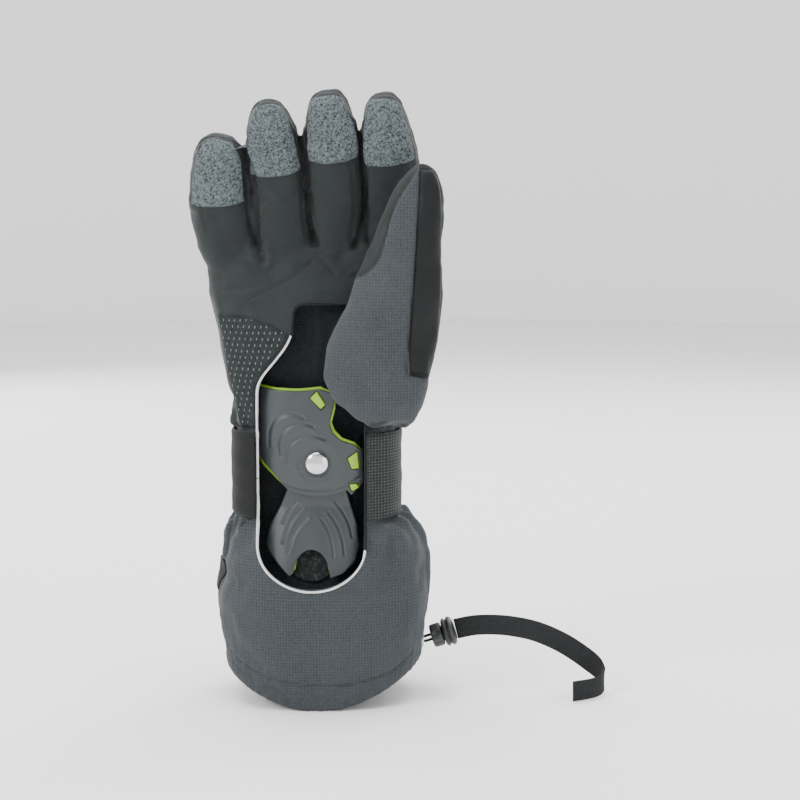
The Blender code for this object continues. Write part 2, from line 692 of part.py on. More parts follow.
def strap(parts, origin):
    skin = Skin([(STRAP_BOTTOM - 5, *STRAP), (STRAP_TOP + 8, *STRAP)])

    def rows(low, high, edge_low, edge_high, count=4):
        """Rows of a patch between two edges, each given as its x at the bottom and at the top."""
        made = []
        for i, z in enumerate(spread(low, high, count)):
            t = i / (count - 1)
            ends = [edge[0] + (edge[1] - edge[0]) * t for edge in (edge_low, edge_high)]
            made.append((z, *(skin.angle_at(x, z, 1) for x in ends)))
        return made

    front_right = skin.angle_at(WINDOW_RIGHT + GAP, STRAP_TOP, -1)
    front_left = skin.angle_at(WINDOW_LEFT - GAP, STRAP_TOP, -1) + 2 * math.pi
    elastic_end = skin.angle_at(-12.0, STRAP_TOP, 1)
    anchor_end = skin.angle_at(STRAP_HINGE_X - 0.6, STRAP_TOP, 1)
    height = (STRAP_BOTTOM, STRAP_TOP)
    elastic_rows = [(z, front_right, elastic_end) for z in height]
    skin_patch("strap_elastic", skin, elastic_rows, ELASTIC, WEB, parts, steps=26)
    skin_patch(
        "strap_anchor", skin, [(z, anchor_end, front_left) for z in height], WEBBING, WEB, parts, steps=14
    )
    flap = dict(collection=parts, origin=origin)
    skin_patch(
        "strap_flap", skin, rows(*height, (24.0, 17.0), (STRAP_HINGE_X, STRAP_HINGE_X)), WEBBING, WEB,
        lift=strap_lift, steps=20, **flap
    )
    skin_patch("hook_patch", skin, rows(116, 151, (22.0, 14.0), (-9.0, -9.0)), HOOK_PATCH, LINER, **flap)
    top = WEBBING[1] + OVERLAP_LIFT + GAP
    tab_rows = [(112, 22.0, -1.2), (117, 28.0, -2.8), (124, 29.2, -4.6)]
    tab_rows += [(134, 25.2, -7.4), (147, 18.8, -11.2), (160, 12.4, -14.8)]
    tab = [(z, skin.angle_at(left, z, 1), skin.angle_at(right, z, 1)) for z, left, right in tab_rows]
    skin_patch("strap_tab", skin, tab, (top, top + 2.4), RUBBER, **flap)
    label_layer = (WEBBING[1] + GAP, WEBBING[1] + 0.9)
    skin_patch(
        "strap_label", skin, rows(118, 156, (-6.0, -16.2), (-14.5, -26.0)), label_layer,
        LABEL, lift=strap_lift, **flap
    )


# Cuff fittings ----------------------------------------------------------------------------------


def side_label(skin, parts):
    rows = [(z, math.radians(176), math.radians(185)) for z in (63, 80)]
    skin_patch("side_label", skin, rows, (GAP, 1.1), LABEL, parts, steps=3)


def glove_clip(skin, parts):
    """A hook on a ribbed tape, on the thumb side of the cuff's back, for hooking gloves together."""
    angle = math.radians(38)
    rows = [(z, angle + 0.075, angle - 0.075) for z in (68, 82)]
    skin_patch("clip_tape", skin, rows, (GAP, 1.9), WEB, parts, steps=3)
    centre = skin.point(58, angle, 2.6)
    out = (skin.point(58, angle, 3.6) - centre).normalized()
    across = Vector((0, 0, 1)).cross(out).normalized()
    frame = [(-5.5, 9.0), (5.5, 9.0), (5.5, 3.0), (2.2, 1.0), (2.2, -2.0), (8.0, 0.0), (11.0, 5.5)]
    frame += [(13.2, 4.6), (10.0, -3.6), (2.2, -6.0), (2.2, -10.0), (-2.2, -10.0), (-2.2, -6.0)]
    frame += [(-9.0, -5.0), (-13.0, -0.5), (-11.2, 1.4), (-7.8, -1.8)]
    frame += [(-2.2, -2.0), (-2.2, 1.0), (-5.5, 3.0)]
    slot = [(-3.7, 7.4), (3.7, 7.4), (3.7, 4.6), (-3.7, 4.6)]
    made = flat_outline([frame, slot])
    points = []
    for v in made.verts:
        points.append(centre + across * v.co.x + Vector((0, 0, v.co.y)) + out * (v.co.z * 3.2 + 0.6))
    faces = [tuple(v.index for v in face.verts) for face in made.faces]
    made.free()
    mesh_object("glove_clip", points, faces, PLASTIC, parts)


def lock_point(along, up):
    """A point of the cord lock's axis, which rises away from the cuff, or up mm above it."""
    c, s = math.cos(LOCK_TILT), math.sin(LOCK_TILT)
    return (EXIT_X + LOCK_BEND + along * c - up * s, 0.0, LOCK_Z + along * s + up * c)


def bight_route(skin):
    """The drawcord: round the hem from the far side, out of the eyelet, back in and round again."""
    reach = LOCK_START + STRAND - CORD_RADIUS
    start = math.radians(174)
    inside = []
    for angle in spread(-start, math.radians(-14), 34):
        p = skin.point(CORD_HEIGHT, angle, -CORD_INSET)
        inside.append((p.x, p.y, hem_edge(skin.point(CORD_HEIGHT, angle).x, CORD_HEIGHT)))
    turn = [(EXIT_X - 4.75, -6.2), (EXIT_X - 4.45, -3.0), (EXIT_X - 2.9, -0.9), (EXIT_X - 0.8, 0.0)]
    upper = [(x, y, LOCK_Z + STRAND * smooth((y + 9) / 6)) for x, y in turn]
    lower = [(x, -y, 2 * LOCK_Z - z) for x, y, z in upper]
    straight = spread(0.0, reach - STRAND, 3)
    bend = [
        lock_point(reach - STRAND + STRAND * math.cos(a), STRAND * math.sin(a))
        for a in (math.pi / 4, 0.0, -math.pi / 4)
    ]
    upper += [lock_point(along, STRAND) for along in straight]
    lower += [lock_point(along, -STRAND) for along in straight]
    inside_back = [(x, -y, z) for x, y, z in inside]
    return inside + upper + bend + lower[::-1] + inside_back[::-1]


def cord(name, route, radius, look, collection):
    """A cord along its route's points, with filled ends."""
    curve = bpy.data.curves.new(name, "CURVE")
    curve.dimensions = "3D"
    curve.bevel_depth = radius * MM
    curve.bevel_resolution = 2
    curve.use_fill_caps = True
    spline = curve.splines.new("POLY")
    spline.points.add(len(route) - 1)
    for point, (x, y, z) in zip(spline.points, route):
        point.co = (x * MM, (y + DEPTH_SHIFT) * MM, z * MM, 1)
    obj = bpy.data.objects.new(name, curve)
    collection.objects.link(obj)
    curve.materials.append(material(*look))
    return obj


def cord_lock(parts):
    """Eyelet in the cuff, then a barrel on the cord and the cap that presses into it."""
    side = (EXIT_X, 0, LOCK_Z)
    inner, outer, flange = EYELET
    profile = [(inner, 1.2), (flange, 1.2), (flange, GAP), (outer, GAP), (outer, -2.4), (inner, -2.4)]
    turned("cord_eyelet", profile, side, (1, 0, 0), STEEL, parts)
    start = lock_point(LOCK_START, 0)
    axis = (math.cos(LOCK_TILT), 0, math.sin(LOCK_TILT))
    barrel = [(5.0, 6.7), (6.2, 6.7), (6.7, 6.0), (6.7, 1.5), (5.6, 0), (3.1, 0), (3.1, 1.5), (5.0, 1.5)]
    turned("cord_lock_barrel", barrel, start, axis, PLASTIC, parts)
    cap = [(0, 14.6), (4.5, 14.6), (7.6, 13.6), (8.6, 12.2), (8.6, 10.6), (7.6, 9.2)]
    cap += [(4.6, 9.2), (4.6, 4.6), (3.3, 4.6), (3.3, 12.0), (0, 12.0)]
    turned("cord_lock_cap", cap, start, axis, PLASTIC, parts)


LEASH_ROUTE = [
    lock_point(LOCK_START + 15.0, 0.0),
    (90.0, -2.0, 40.2),
    (101.0, -3.5, 41.0),
    (113.0, -3.5, 40.0),
    (127.0, -2.0, 36.5),
    (141.0, 0.0, 30.0),
    (152.5, 1.5, 22.5),
    (161.5, 0.5, 15.5),
    (165.8, -4.5, 10.5),
    (165.0, -11.0, 7.8),
    (159.0, -16.5, 6.6),
    (147.0, -22.5, 6.3),
]


def smooth_route(points, count):
    """Points along a smooth curve through the given ones, at even steps of its parameter."""
    padded = [points[0]] + list(points) + [points[-1]]
    made = []
    for s in spread(0, len(points) - 1, count):
        i = min(int(s), len(points) - 2)
        t = s - i
        p0, p1, p2, p3 = (Vector(p) for p in padded[i : i + 4])
        square = 2 * p0 - 5 * p1 + 4 * p2 - p3
        cube = 3 * p1 - p0 - 3 * p2 + p3
        made.append(0.5 * (2 * p1 + (p2 - p0) * t + square * t**2 + cube * t**3))
    return made


def leash(parts):
    """Flat webbing on its edge, from the cord lock down to the table and round in a hairpin."""
    route = smooth_route(LEASH_ROUTE, 34)
    rings = []
    for i, p in enumerate(route):
        along = (route[min(i + 1, len(route) - 1)] - route[max(i - 1, 0)]).normalized()
        across = Vector((along.y, -along.x, 0)).normalized()
        up = across.cross(along) * LEASH_WIDTH / 2
        across *= LEASH_THICKNESS / 2
        rings.append([p + across - up, p + across + up, p - across + up, p - across - up])
    rings_object("leash_webbing", rings, WEB, parts, origin=LEASH_ROUTE[0])



def build():
    for obj in list(bpy.data.objects):
        bpy.data.objects.remove(obj, do_unlink=True)
    parts = bpy.data.collections.new("wrist_guard")
    cutters = bpy.data.collections.new("cutters")
    for collection in (parts, cutters):
        bpy.context.scene.collection.children.link(collection)
    cutters.hide_render = True
    cuff, hand = Skin(GAUNTLET), Skin(HAND)
    window = window_cutter(cutters)
    profile = [(0, 20), (THUMB_MOUTH_RADIUS, 20), (THUMB_MOUTH_RADIUS, -22), (0, -22)]
    mouth = cutter(
        turned("thumb_mouth", profile, (THUMB_MOUTH[0], -24, THUMB_MOUTH[1]), (0, -1, 0), None, cutters)
    )
    gauntlet(cuff, Skin(GAUNTLET_LINING), parts, cutters, window)
    hand_shell(hand, Skin(HAND_LINING), parts, cutters, window, mouth)
    for name, spec in FINGERS.items():
        finger(name, spec, parts)
    thumb(Skin(THUMB, THUMB_POWER), hand, parts, cutters, mouth)
    palm_pieces(hand, parts)
    hand_plate(parts, cutters)
    forearm_plate(parts)
    rivet(parts)
    strap_skin = Skin([(0, *STRAP), (1, *STRAP)])
    strap(parts, (STRAP_HINGE_X, strap_skin.depth(STRAP_HINGE_X, 0, 1, WEBBING[1]), 0))
    side_label(cuff, parts)
    glove_clip(cuff, parts)
    cord("hem_drawcord", bight_route(cuff), CORD_RADIUS, WEB, parts)
    cord_lock(parts)
    leash(parts)


build()
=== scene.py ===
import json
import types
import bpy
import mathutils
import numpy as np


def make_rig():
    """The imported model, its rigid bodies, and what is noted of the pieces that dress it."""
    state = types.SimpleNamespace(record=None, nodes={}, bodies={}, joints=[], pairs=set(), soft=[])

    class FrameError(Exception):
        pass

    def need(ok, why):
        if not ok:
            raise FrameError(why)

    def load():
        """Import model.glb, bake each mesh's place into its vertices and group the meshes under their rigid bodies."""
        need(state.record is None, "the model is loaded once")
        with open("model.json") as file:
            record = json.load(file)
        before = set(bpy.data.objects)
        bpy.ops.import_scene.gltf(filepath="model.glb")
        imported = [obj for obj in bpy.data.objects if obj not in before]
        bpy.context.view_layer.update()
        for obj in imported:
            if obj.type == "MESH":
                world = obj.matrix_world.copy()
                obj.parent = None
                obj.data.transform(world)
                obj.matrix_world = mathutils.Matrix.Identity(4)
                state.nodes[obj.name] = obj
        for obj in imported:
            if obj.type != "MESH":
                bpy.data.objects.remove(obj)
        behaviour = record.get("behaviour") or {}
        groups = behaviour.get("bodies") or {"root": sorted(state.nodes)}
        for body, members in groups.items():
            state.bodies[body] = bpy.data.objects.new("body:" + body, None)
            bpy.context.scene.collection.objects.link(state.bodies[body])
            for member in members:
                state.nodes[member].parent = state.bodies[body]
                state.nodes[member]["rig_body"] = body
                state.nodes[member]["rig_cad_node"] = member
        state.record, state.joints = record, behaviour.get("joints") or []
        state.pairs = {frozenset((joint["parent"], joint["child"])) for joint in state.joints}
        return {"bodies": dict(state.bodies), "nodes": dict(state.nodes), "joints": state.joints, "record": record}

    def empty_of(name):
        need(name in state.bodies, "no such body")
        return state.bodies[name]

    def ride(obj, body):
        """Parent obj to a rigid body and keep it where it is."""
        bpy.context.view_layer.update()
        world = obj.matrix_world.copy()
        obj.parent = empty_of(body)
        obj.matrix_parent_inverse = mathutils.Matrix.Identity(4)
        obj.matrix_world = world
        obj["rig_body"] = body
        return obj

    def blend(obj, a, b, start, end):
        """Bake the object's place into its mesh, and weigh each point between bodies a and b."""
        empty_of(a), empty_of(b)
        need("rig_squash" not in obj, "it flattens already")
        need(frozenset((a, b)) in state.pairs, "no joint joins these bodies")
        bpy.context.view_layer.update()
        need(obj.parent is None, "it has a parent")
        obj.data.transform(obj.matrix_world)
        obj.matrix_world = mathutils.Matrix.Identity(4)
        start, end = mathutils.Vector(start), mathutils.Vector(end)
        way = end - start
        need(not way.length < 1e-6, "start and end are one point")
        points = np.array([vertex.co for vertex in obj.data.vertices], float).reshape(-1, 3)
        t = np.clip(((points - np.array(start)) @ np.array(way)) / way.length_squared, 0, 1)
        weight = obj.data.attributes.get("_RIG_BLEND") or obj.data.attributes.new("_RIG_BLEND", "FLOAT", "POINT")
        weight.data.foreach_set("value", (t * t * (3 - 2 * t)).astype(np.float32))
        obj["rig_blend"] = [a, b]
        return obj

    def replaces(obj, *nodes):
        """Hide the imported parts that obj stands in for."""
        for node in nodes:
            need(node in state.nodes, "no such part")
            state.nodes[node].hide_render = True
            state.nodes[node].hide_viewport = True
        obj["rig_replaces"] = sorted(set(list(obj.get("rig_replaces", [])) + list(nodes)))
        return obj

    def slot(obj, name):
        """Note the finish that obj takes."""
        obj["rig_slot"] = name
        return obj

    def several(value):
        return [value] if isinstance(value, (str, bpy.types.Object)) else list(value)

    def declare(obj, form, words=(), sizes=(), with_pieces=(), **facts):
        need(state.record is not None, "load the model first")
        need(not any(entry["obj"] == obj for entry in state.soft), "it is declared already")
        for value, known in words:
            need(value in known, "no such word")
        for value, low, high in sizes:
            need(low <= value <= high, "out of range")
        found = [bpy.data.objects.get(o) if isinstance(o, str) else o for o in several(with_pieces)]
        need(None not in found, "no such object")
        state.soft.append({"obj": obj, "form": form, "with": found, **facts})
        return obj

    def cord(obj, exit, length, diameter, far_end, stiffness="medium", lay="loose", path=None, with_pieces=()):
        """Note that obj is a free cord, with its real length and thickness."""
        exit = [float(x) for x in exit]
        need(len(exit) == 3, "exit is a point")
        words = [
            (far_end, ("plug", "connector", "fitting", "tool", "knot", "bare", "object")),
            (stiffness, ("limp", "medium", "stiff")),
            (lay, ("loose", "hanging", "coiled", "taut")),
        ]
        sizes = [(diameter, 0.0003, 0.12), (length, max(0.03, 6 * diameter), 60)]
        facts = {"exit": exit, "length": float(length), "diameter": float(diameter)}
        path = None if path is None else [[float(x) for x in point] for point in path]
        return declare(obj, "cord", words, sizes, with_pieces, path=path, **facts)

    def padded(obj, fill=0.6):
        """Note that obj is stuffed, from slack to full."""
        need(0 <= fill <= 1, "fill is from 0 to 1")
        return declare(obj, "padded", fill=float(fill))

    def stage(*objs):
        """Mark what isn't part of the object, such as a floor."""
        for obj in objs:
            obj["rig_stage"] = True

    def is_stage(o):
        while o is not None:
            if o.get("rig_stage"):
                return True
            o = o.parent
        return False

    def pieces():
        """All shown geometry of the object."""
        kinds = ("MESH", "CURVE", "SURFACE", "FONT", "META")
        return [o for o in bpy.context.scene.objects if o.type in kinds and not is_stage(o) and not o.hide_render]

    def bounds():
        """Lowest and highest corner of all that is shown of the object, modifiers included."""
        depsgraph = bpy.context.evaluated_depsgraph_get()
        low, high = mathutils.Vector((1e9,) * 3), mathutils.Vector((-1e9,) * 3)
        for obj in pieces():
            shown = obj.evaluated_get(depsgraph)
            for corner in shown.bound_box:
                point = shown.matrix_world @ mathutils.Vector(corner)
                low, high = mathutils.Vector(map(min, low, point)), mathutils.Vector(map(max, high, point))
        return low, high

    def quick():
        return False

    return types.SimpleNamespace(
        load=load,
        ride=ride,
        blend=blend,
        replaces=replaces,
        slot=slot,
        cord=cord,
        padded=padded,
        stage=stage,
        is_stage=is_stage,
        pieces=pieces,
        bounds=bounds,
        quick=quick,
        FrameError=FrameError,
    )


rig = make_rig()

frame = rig.load()

import json
import math

import bmesh
import bpy
import numpy as np
from mathutils import Vector, kdtree
from mathutils.bvhtree import BVHTree

# Lengths are in millimetres in the part's own frame, as in the CAD model, whose y is moved by SHIFT at the end.
MM = 0.001
SHIFT = 6.6
CAD_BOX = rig.bounds()
for startup in ("Cube", "Light", "Camera"):
    if startup in bpy.data.objects:
        bpy.data.objects.remove(bpy.data.objects[startup])
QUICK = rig.quick()

# Sections of the glove: height, centre x, centre y, half width, half depth
POWER = 2.8
TRUNK = np.array([
    (0, 2.2, 0, 56.2, 41.4),
    (14, 2.3, 0, 57.0, 42.2),
    (31, 2.5, 0, 58.0, 43.0),
    (60, 2.7, 0, 59.2, 43.5),
    (83, 3.0, 0, 57.6, 41.8),
    (95, 2.8, 0, 55.0, 38.9),
    (104, 1.4, 0, 50.5, 35.2),
    (109, -0.6, 0, 46.0, 31.6),
    (127, -1.2, 0, 45.0, 31.0),
    (150, -1.2, 0, 45.0, 31.0),
    (158, -0.8, 0, 45.8, 31.2),
    (163, 0.0, 0, 48.2, 31.2),
    (170, 0.6, 0, 49.8, 31.0),
    (176, 0.8, 0, 50.6, 30.8),
    (190, 0.4, 0, 53.6, 30.6),
    (204, 0.0, -0.5, 56.4, 29.8),
    (232, -0.5, -1.5, 59.6, 25.8),
    (244, -1.2, -2.0, 61.2, 21.4),
    (256, -1.8, -2.6, 61.6, 17.6),
    (262, -2.0, -3.0, 60.6, 13.0),
], float)
CAVITY = np.array([
    (-30, 2.2, 0, 51.1, 36.7),
    (31, 2.5, 0, 53.1, 38.7),
    (60, 2.7, 0, 54.3, 39.1),
    (83, 3, 0, 52.9, 37.3),
    (95, 2.8, 0, 50.1, 34.3),
    (104, 1.4, 0, 45.9, 30.9),
    (109, -1, 0, 41.5, 27.5),
    (150, -1.2, 0, 40.7, 27.1),
    (170, 0, 0, 44.9, 26.9),
    (190, 0.4, 0, 48.9, 26.5),
    (204, 0, -0.5, 51.7, 25.7),
    (236, -0.6, -1.6, 54.9, 19.9),
], float)
LINING = np.array([
    (7, 2.3, 0, 51.4, 36.4),
    (45, 2.6, 0, 52.4, 37.2),
    (60, 2.7, 2.0, 52.4, 35.5),
    (75, 2.7, 5.0, 51.0, 31.5),
    (95, 2.4, 6.3, 46.5, 26.0),
    (104, 0.8, 5.5, 42.5, 21.8),
    (109, -1.2, 5.0, 39.0, 20.6),
    (158, -1.2, 5.0, 37.8, 20.6),
    (176, 0.8, 4.4, 43.5, 20.6),
    (190, 0.4, 3.4, 47.5, 22.4),
    (204, 0.0, 2.4, 50.0, 23.4),
    (232, -0.5, 0.2, 53.5, 21.5),
    (240, -1.0, -1.0, 54.5, 17.5),
], float)
THUMB = np.array([
    (163, 41.0, -34.0, 9.0, 5.0),
    (168, 39.0, -37.5, 15.5, 9.5),
    (178, 35.5, -41.5, 24.0, 13.5),
    (192, 34.3, -43.2, 29.4, 15.5),
    (209, 37.3, -44.5, 31.0, 15.5),
    (224, 41.3, -45.2, 27.9, 15.2),
    (238, 45.0, -46.0, 25.2, 15.0),
    (262, 49.5, -46.5, 20.7, 14.5),
    (285, 55.0, -46.0, 15.3, 13.0),
    (298, 57.8, -45.5, 11.5, 10.2),
    (305, 58.8, -45.5, 7.2, 6.6),
    (308.4, 58.8, -45.5, 2.5, 2.5),
], float)
THUMB_POWER = 2.3
FINGER_BASE, FINGER_BASE_Y = 251.5, -2.0
FINGERS = {  # base x, belly x, tip x, tip height, curl depth
    "little": (-47.5, -54.6, -52.2, 324.0, 23.0),
    "ring": (-16.6, -21.5, -26.5, 343.0, 25.0),
    "middle": (14.6, 10.5, 6.0, 349.0, 25.0),
    "index": (45.2, 42.8, 37.6, 348.0, 25.0),
}
FINGER_SHAPE = np.array([
    (-0.16, 15.0, 13.0), (0.0, 16.0, 15.0), (0.2, 16.8, 14.8), (0.4, 16.8, 14.4), (0.57, 16.2, 13.8),
    (0.7, 15.3, 13.2), (0.84, 13.8, 12.0), (0.93, 11.6, 10.0), (0.98, 8.0, 7.0), (1.0, 3.4, 3.0),
], float)
FINGER_POWER = 2.6
HEM_FLAT, HEM_RISE, HEM_FADE = 7.0, 22.0, 70.0
PIVOT = 140.6
STRAP = (-1.2, 0.0, 47.5, 33.4)
SPLIT = 133.0
WINDOW = (-33.6, 27.3, 70.0, 95.0)  # left, right, lowest, top of the arc


# Numbers ------------------------------------------------------------------------------------------


def smooth(t):
    t = np.clip(t, 0.0, 1.0)
    return t * t * (3 - 2 * t)


def bump(d, width):
    return np.exp(-((d / width) ** 2))


def section(rows, z):
    return np.array([np.interp(z, rows[:, 0], rows[:, k]) for k in range(1, rows.shape[1])])


def superellipse(a, b, angle, power):
    c, s = np.cos(angle), np.sin(angle)
    r = ((np.abs(c) / a) ** power + (np.abs(s) / b) ** power) ** (-1 / power)
    return r * c, r * s


def hem_lift(x, z):
    """z with the hem's rise towards the glove's sides, which fades out up the cuff."""
    rise = HEM_RISE * np.clip((np.abs(x) - HEM_FLAT) / 50, 0, 1.1) ** 1.65
    return z + rise * np.clip(1 - z / HEM_FADE, 0, 1.3)


_RNG = np.random.default_rng(7)
_LATTICE = _RNG.standard_normal((32, 32, 32))


def noise(points, scale):
    """Smooth noise of about unit size, from a fixed lattice, for points in mm and features of scale mm."""
    p = np.asarray(points, float) / scale + 500.0
    i = np.floor(p).astype(int)
    f = smooth(p - i)
    out = 0.0
    for dx in (0, 1):
        for dy in (0, 1):
            for dz in (0, 1):
                w = (
                    (f[..., 0] if dx else 1 - f[..., 0])
                    * (f[..., 1] if dy else 1 - f[..., 1])
                    * (f[..., 2] if dz else 1 - f[..., 2])
                )
                out = out + w * _LATTICE[(i[..., 0] + dx) % 32, (i[..., 1] + dy) % 32, (i[..., 2] + dz) % 32]
    return out


def curve_at(a, b, c, d, t):
    """The smooth curve from b to c, whose neighbours are a and d."""
    return 0.5 * (
        2 * b + (c - a) * t + (2 * a - 5 * b + 4 * c - d) * t**2 + (3 * b - a - 3 * c + d) * t**3
    )


def spline(points, step):
    """Points about step mm apart on a smooth curve through the given ones."""
    p = np.asarray(points, float)
    p = np.concatenate([[2 * p[0] - p[1]], p, [2 * p[-1] - p[-2]]])
    out = []
    for i in range(1, len(p) - 2):
        p0, p1, p2, p3 = p[i - 1 : i + 3]
        n = max(2, int(np.linalg.norm(p2 - p1) / 0.5))
        t = np.linspace(0, 1, n, endpoint=False)[:, None]
        out.append(curve_at(p0, p1, p2, p3, t))
    return resample(np.concatenate(out + [p[-2:-1]]), step)


def resample(p, step):
    p = np.asarray(p, float)
    run = np.concatenate([[0], np.cumsum(np.linalg.norm(np.diff(p, axis=0), axis=1))])
    n = max(2, int(round(run[-1] / step)) + 1)
    s = np.linspace(0, run[-1], n)
    return np.stack([np.interp(s, run, p[:, k]) for k in range(p.shape[1])], axis=1)


# Meshes -------------------------------------------------------------------------------------------


def add_mesh(name, points, faces, look=None, sharp=None):
    mesh = bpy.data.meshes.new(name)
    co = (np.asarray(points, float) + (0, SHIFT, 0)) * MM
    mesh.from_pydata(co.tolist(), [], [tuple(int(v) for v in f) for f in faces])
    made = bmesh.new()
    made.from_mesh(mesh)
    bmesh.ops.recalc_face_normals(made, faces=made.faces)
    made.to_mesh(mesh)
    made.free()
    mesh.shade_smooth()
    if sharp:
        mesh.set_sharp_from_angle(angle=math.radians(sharp))
    if look:
        mesh.materials.append(look)
    return place_in(bpy.data.objects.new(name, mesh))


def place_in(obj):
    bpy.context.scene.collection.objects.link(obj)
    return obj


def twin(obj, name):
    """A copy with its own mesh."""
    made = obj.copy()
    made.data = obj.data.copy()
    made.name = name
    return place_in(made)


def dress(obj, look):
    obj.data.materials.clear()
    obj.data.materials.append(look)


def kd_of(points):
    tree = kdtree.KDTree(len(points))
    for i, p in enumerate(points):
        tree.insert(p, i)
    tree.balance()
    return tree


def read(obj):
    co = np.empty(len(obj.data.vertices) * 3, np.float32)
    obj.data.vertices.foreach_get("co", co)
    return co.reshape(-1, 3).astype(float) / MM - (0, SHIFT, 0)


def write(obj, points):
    co = ((np.asarray(points) + (0, SHIFT, 0)) * MM).astype(np.float32)
    obj.data.vertices.foreach_set("co", co.ravel())
    obj.data.update()


def normals(obj):
    n = np.empty(len(obj.data.vertices) * 3, np.float32)
    obj.data.vertex_normals.foreach_get("vector", n)
    return n.reshape(-1, 3).astype(float)


def tree_of(obj):
    points = read(obj)
    faces = [tuple(p.vertices) for p in obj.data.polygons]
    return BVHTree.FromPolygons([Vector(p) for p in points], faces)


def quads(index):
    a, b, c, d = index[:-1, :-1], index[1:, :-1], index[1:, 1:], index[:-1, 1:]
    return np.stack([a, b, c, d], -1).reshape(-1, 4)


def rings_mesh(name, rings, look=None, closed=False, caps=True, sharp=None):
    """rings is an array (rings, points, 3); each ring is a loop."""
    rings = np.asarray(rings, float)
    n, m = rings.shape[:2]
    index = np.arange(n * m).reshape(n, m)
    index = np.concatenate([index, index[:, :1]], 1)
    if closed:
        index = np.concatenate([index, index[:1]], 0)
    faces = quads(index).tolist()
    if caps and not closed:
        faces += [list(range(m)), list(range((n - 1) * m, n * m))]
    return add_mesh(name, rings.reshape(-1, 3), faces, look, sharp)


def slab(name, outer, inner, look):
    """A closed thin body between two grids of points."""
    n, m = outer.shape[:2]
    index = np.arange(n * m).reshape(n, m)
    k = n * m
    faces = quads(index).tolist() + (quads(index)[:, ::-1] + k).tolist()
    rim = list(index[0]) + list(index[1:, -1]) + list(index[-1, -2::-1]) + list(index[-2:0:-1, 0])
    for i, v in enumerate(rim):
        w = rim[(i + 1) % len(rim)]
        faces.append((w, v, v + k, w + k))
    return add_mesh(name, np.concatenate([outer.reshape(-1, 3), inner.reshape(-1, 3)]), faces, look)


def sheet(name, rows, columns, ends, look):
    """A slab over a grid, whose columns may change with the row: ends(row, column) gives both its points."""
    pairs = np.array([[ends(r, c) for c in (columns(r) if callable(columns) else columns)] for r in rows])
    return slab(name, pairs[:, :, 0], pairs[:, :, 1], look)


def frames(path, closed=False, up=None):
    """Tangent, side and up of a path; up is given, or carried along it."""
    t = np.roll(path, -1, 0) - np.roll(path, 1, 0) if closed else np.gradient(path, axis=0)
    t /= np.linalg.norm(t, axis=1)[:, None] + 1e-12
    if up is None:
        up = np.empty_like(t)
        u = np.cross(t[0], (0.0, 0.0, 1.0) if abs(t[0][2]) < 0.9 else (1.0, 0.0, 0.0))
        for i in range(len(t)):
            u = u - t[i] * np.dot(u, t[i])
            u /= np.linalg.norm(u)
            up[i] = u
    else:
        up = np.broadcast_to(np.asarray(up, float), t.shape)
        up = up - t * np.sum(up * t, 1)[:, None]
        up /= np.linalg.norm(up, axis=1)[:, None]
    return t, np.cross(t, up), up


def tube(name, path, width, height, look=None, closed=False, up=None, sides=10):
    """A tube along a path: width across it and height along up."""
    path = np.asarray(path, float)
    _, side, up = frames(path, closed, up)
    a = np.linspace(0, 2 * math.pi, sides, endpoint=False)
    w = np.broadcast_to(np.asarray(width, float), (len(path),))[:, None, None] / 2
    h = np.broadcast_to(np.asarray(height, float), (len(path),))[:, None, None] / 2
    rings = path[:, None] + side[:, None] * np.cos(a)[None, :, None] * w + up[:, None] * np.sin(a)[None, :,
        None] * h
    return rings_mesh(name, rings, look, closed)


def join(name, objs, look=None):
    """One object out of several, by its own mesh data."""
    made = bmesh.new()
    for o in objs:
        made.from_mesh(o.data)
        bpy.data.objects.remove(o)
    mesh = bpy.data.meshes.new(name)
    made.to_mesh(mesh)
    made.free()
    mesh.shade_smooth()
    if look:
        mesh.materials.append(look)
    return place_in(bpy.data.objects.new(name, mesh))


def apply(obj, kind, **settings):
    modifier = obj.modifiers.new(kind, kind)
    for key, value in settings.items():
        setattr(modifier, key, value)
    bpy.context.view_layer.update()
    graph = bpy.context.evaluated_depsgraph_get()
    mesh = bpy.data.meshes.new_from_object(obj.evaluated_get(graph))
    obj.modifiers.clear()
    obj.data = mesh
    return obj


def cut(obj, other, operation="DIFFERENCE"):
    apply(obj, "BOOLEAN", object=other, operation=operation, solver="MANIFOLD")
    bpy.data.objects.remove(other)


def lathe(name, profile, start, axis, look, steps=48, shape=None, closed=False):
    """A turned piece: profile is radius and distance along the axis; shape scales the radius by angle."""
    axis = np.asarray(axis, float) / np.linalg.norm(axis)
    u = np.cross(axis, (0.0, 1.0, 0.0) if abs(axis[1]) < 0.9 else (1.0, 0.0, 0.0))
    u /= np.linalg.norm(u)
    v = np.cross(axis, u)
    a = np.linspace(0, 2 * math.pi, steps, endpoint=False)
    k = shape(a) if shape else np.ones(steps)
    rings = [
        np.asarray(start) + axis * h + (u[None] * np.cos(a)[:, None] + v[None] * np.sin(a)[:, None]) * (max(r,
            0.02) * k)[:, None]
        for r, h in profile
    ]
    return rings_mesh(name, np.array(rings), look, closed, sharp=50)


def rounded(profile, radius=0.5, steps=4):
    """The profile with its inner corners rounded."""
    p = np.asarray(profile, float)
    out = [p[0]]
    for i in range(1, len(p) - 1):
        a, b, c = p[i - 1], p[i], p[i + 1]
        la, lc = np.linalg.norm(a - b), np.linalg.norm(c - b)
        r = min(radius, la * 0.45, lc * 0.45)
        s, e = b + (a - b) / la * r, b + (c - b) / lc * r
        for t in np.linspace(0, 1, steps):
            out.append((1 - t) ** 2 * s + 2 * t * (1 - t) * b + t**2 * e)
    return np.array(out + [p[-1]])


# Materials ----------------------------------------------------------------------------------------


def linear(c):
    return c / 12.92 if c <= 0.04045 else ((c + 0.055) / 1.055) ** 2.4


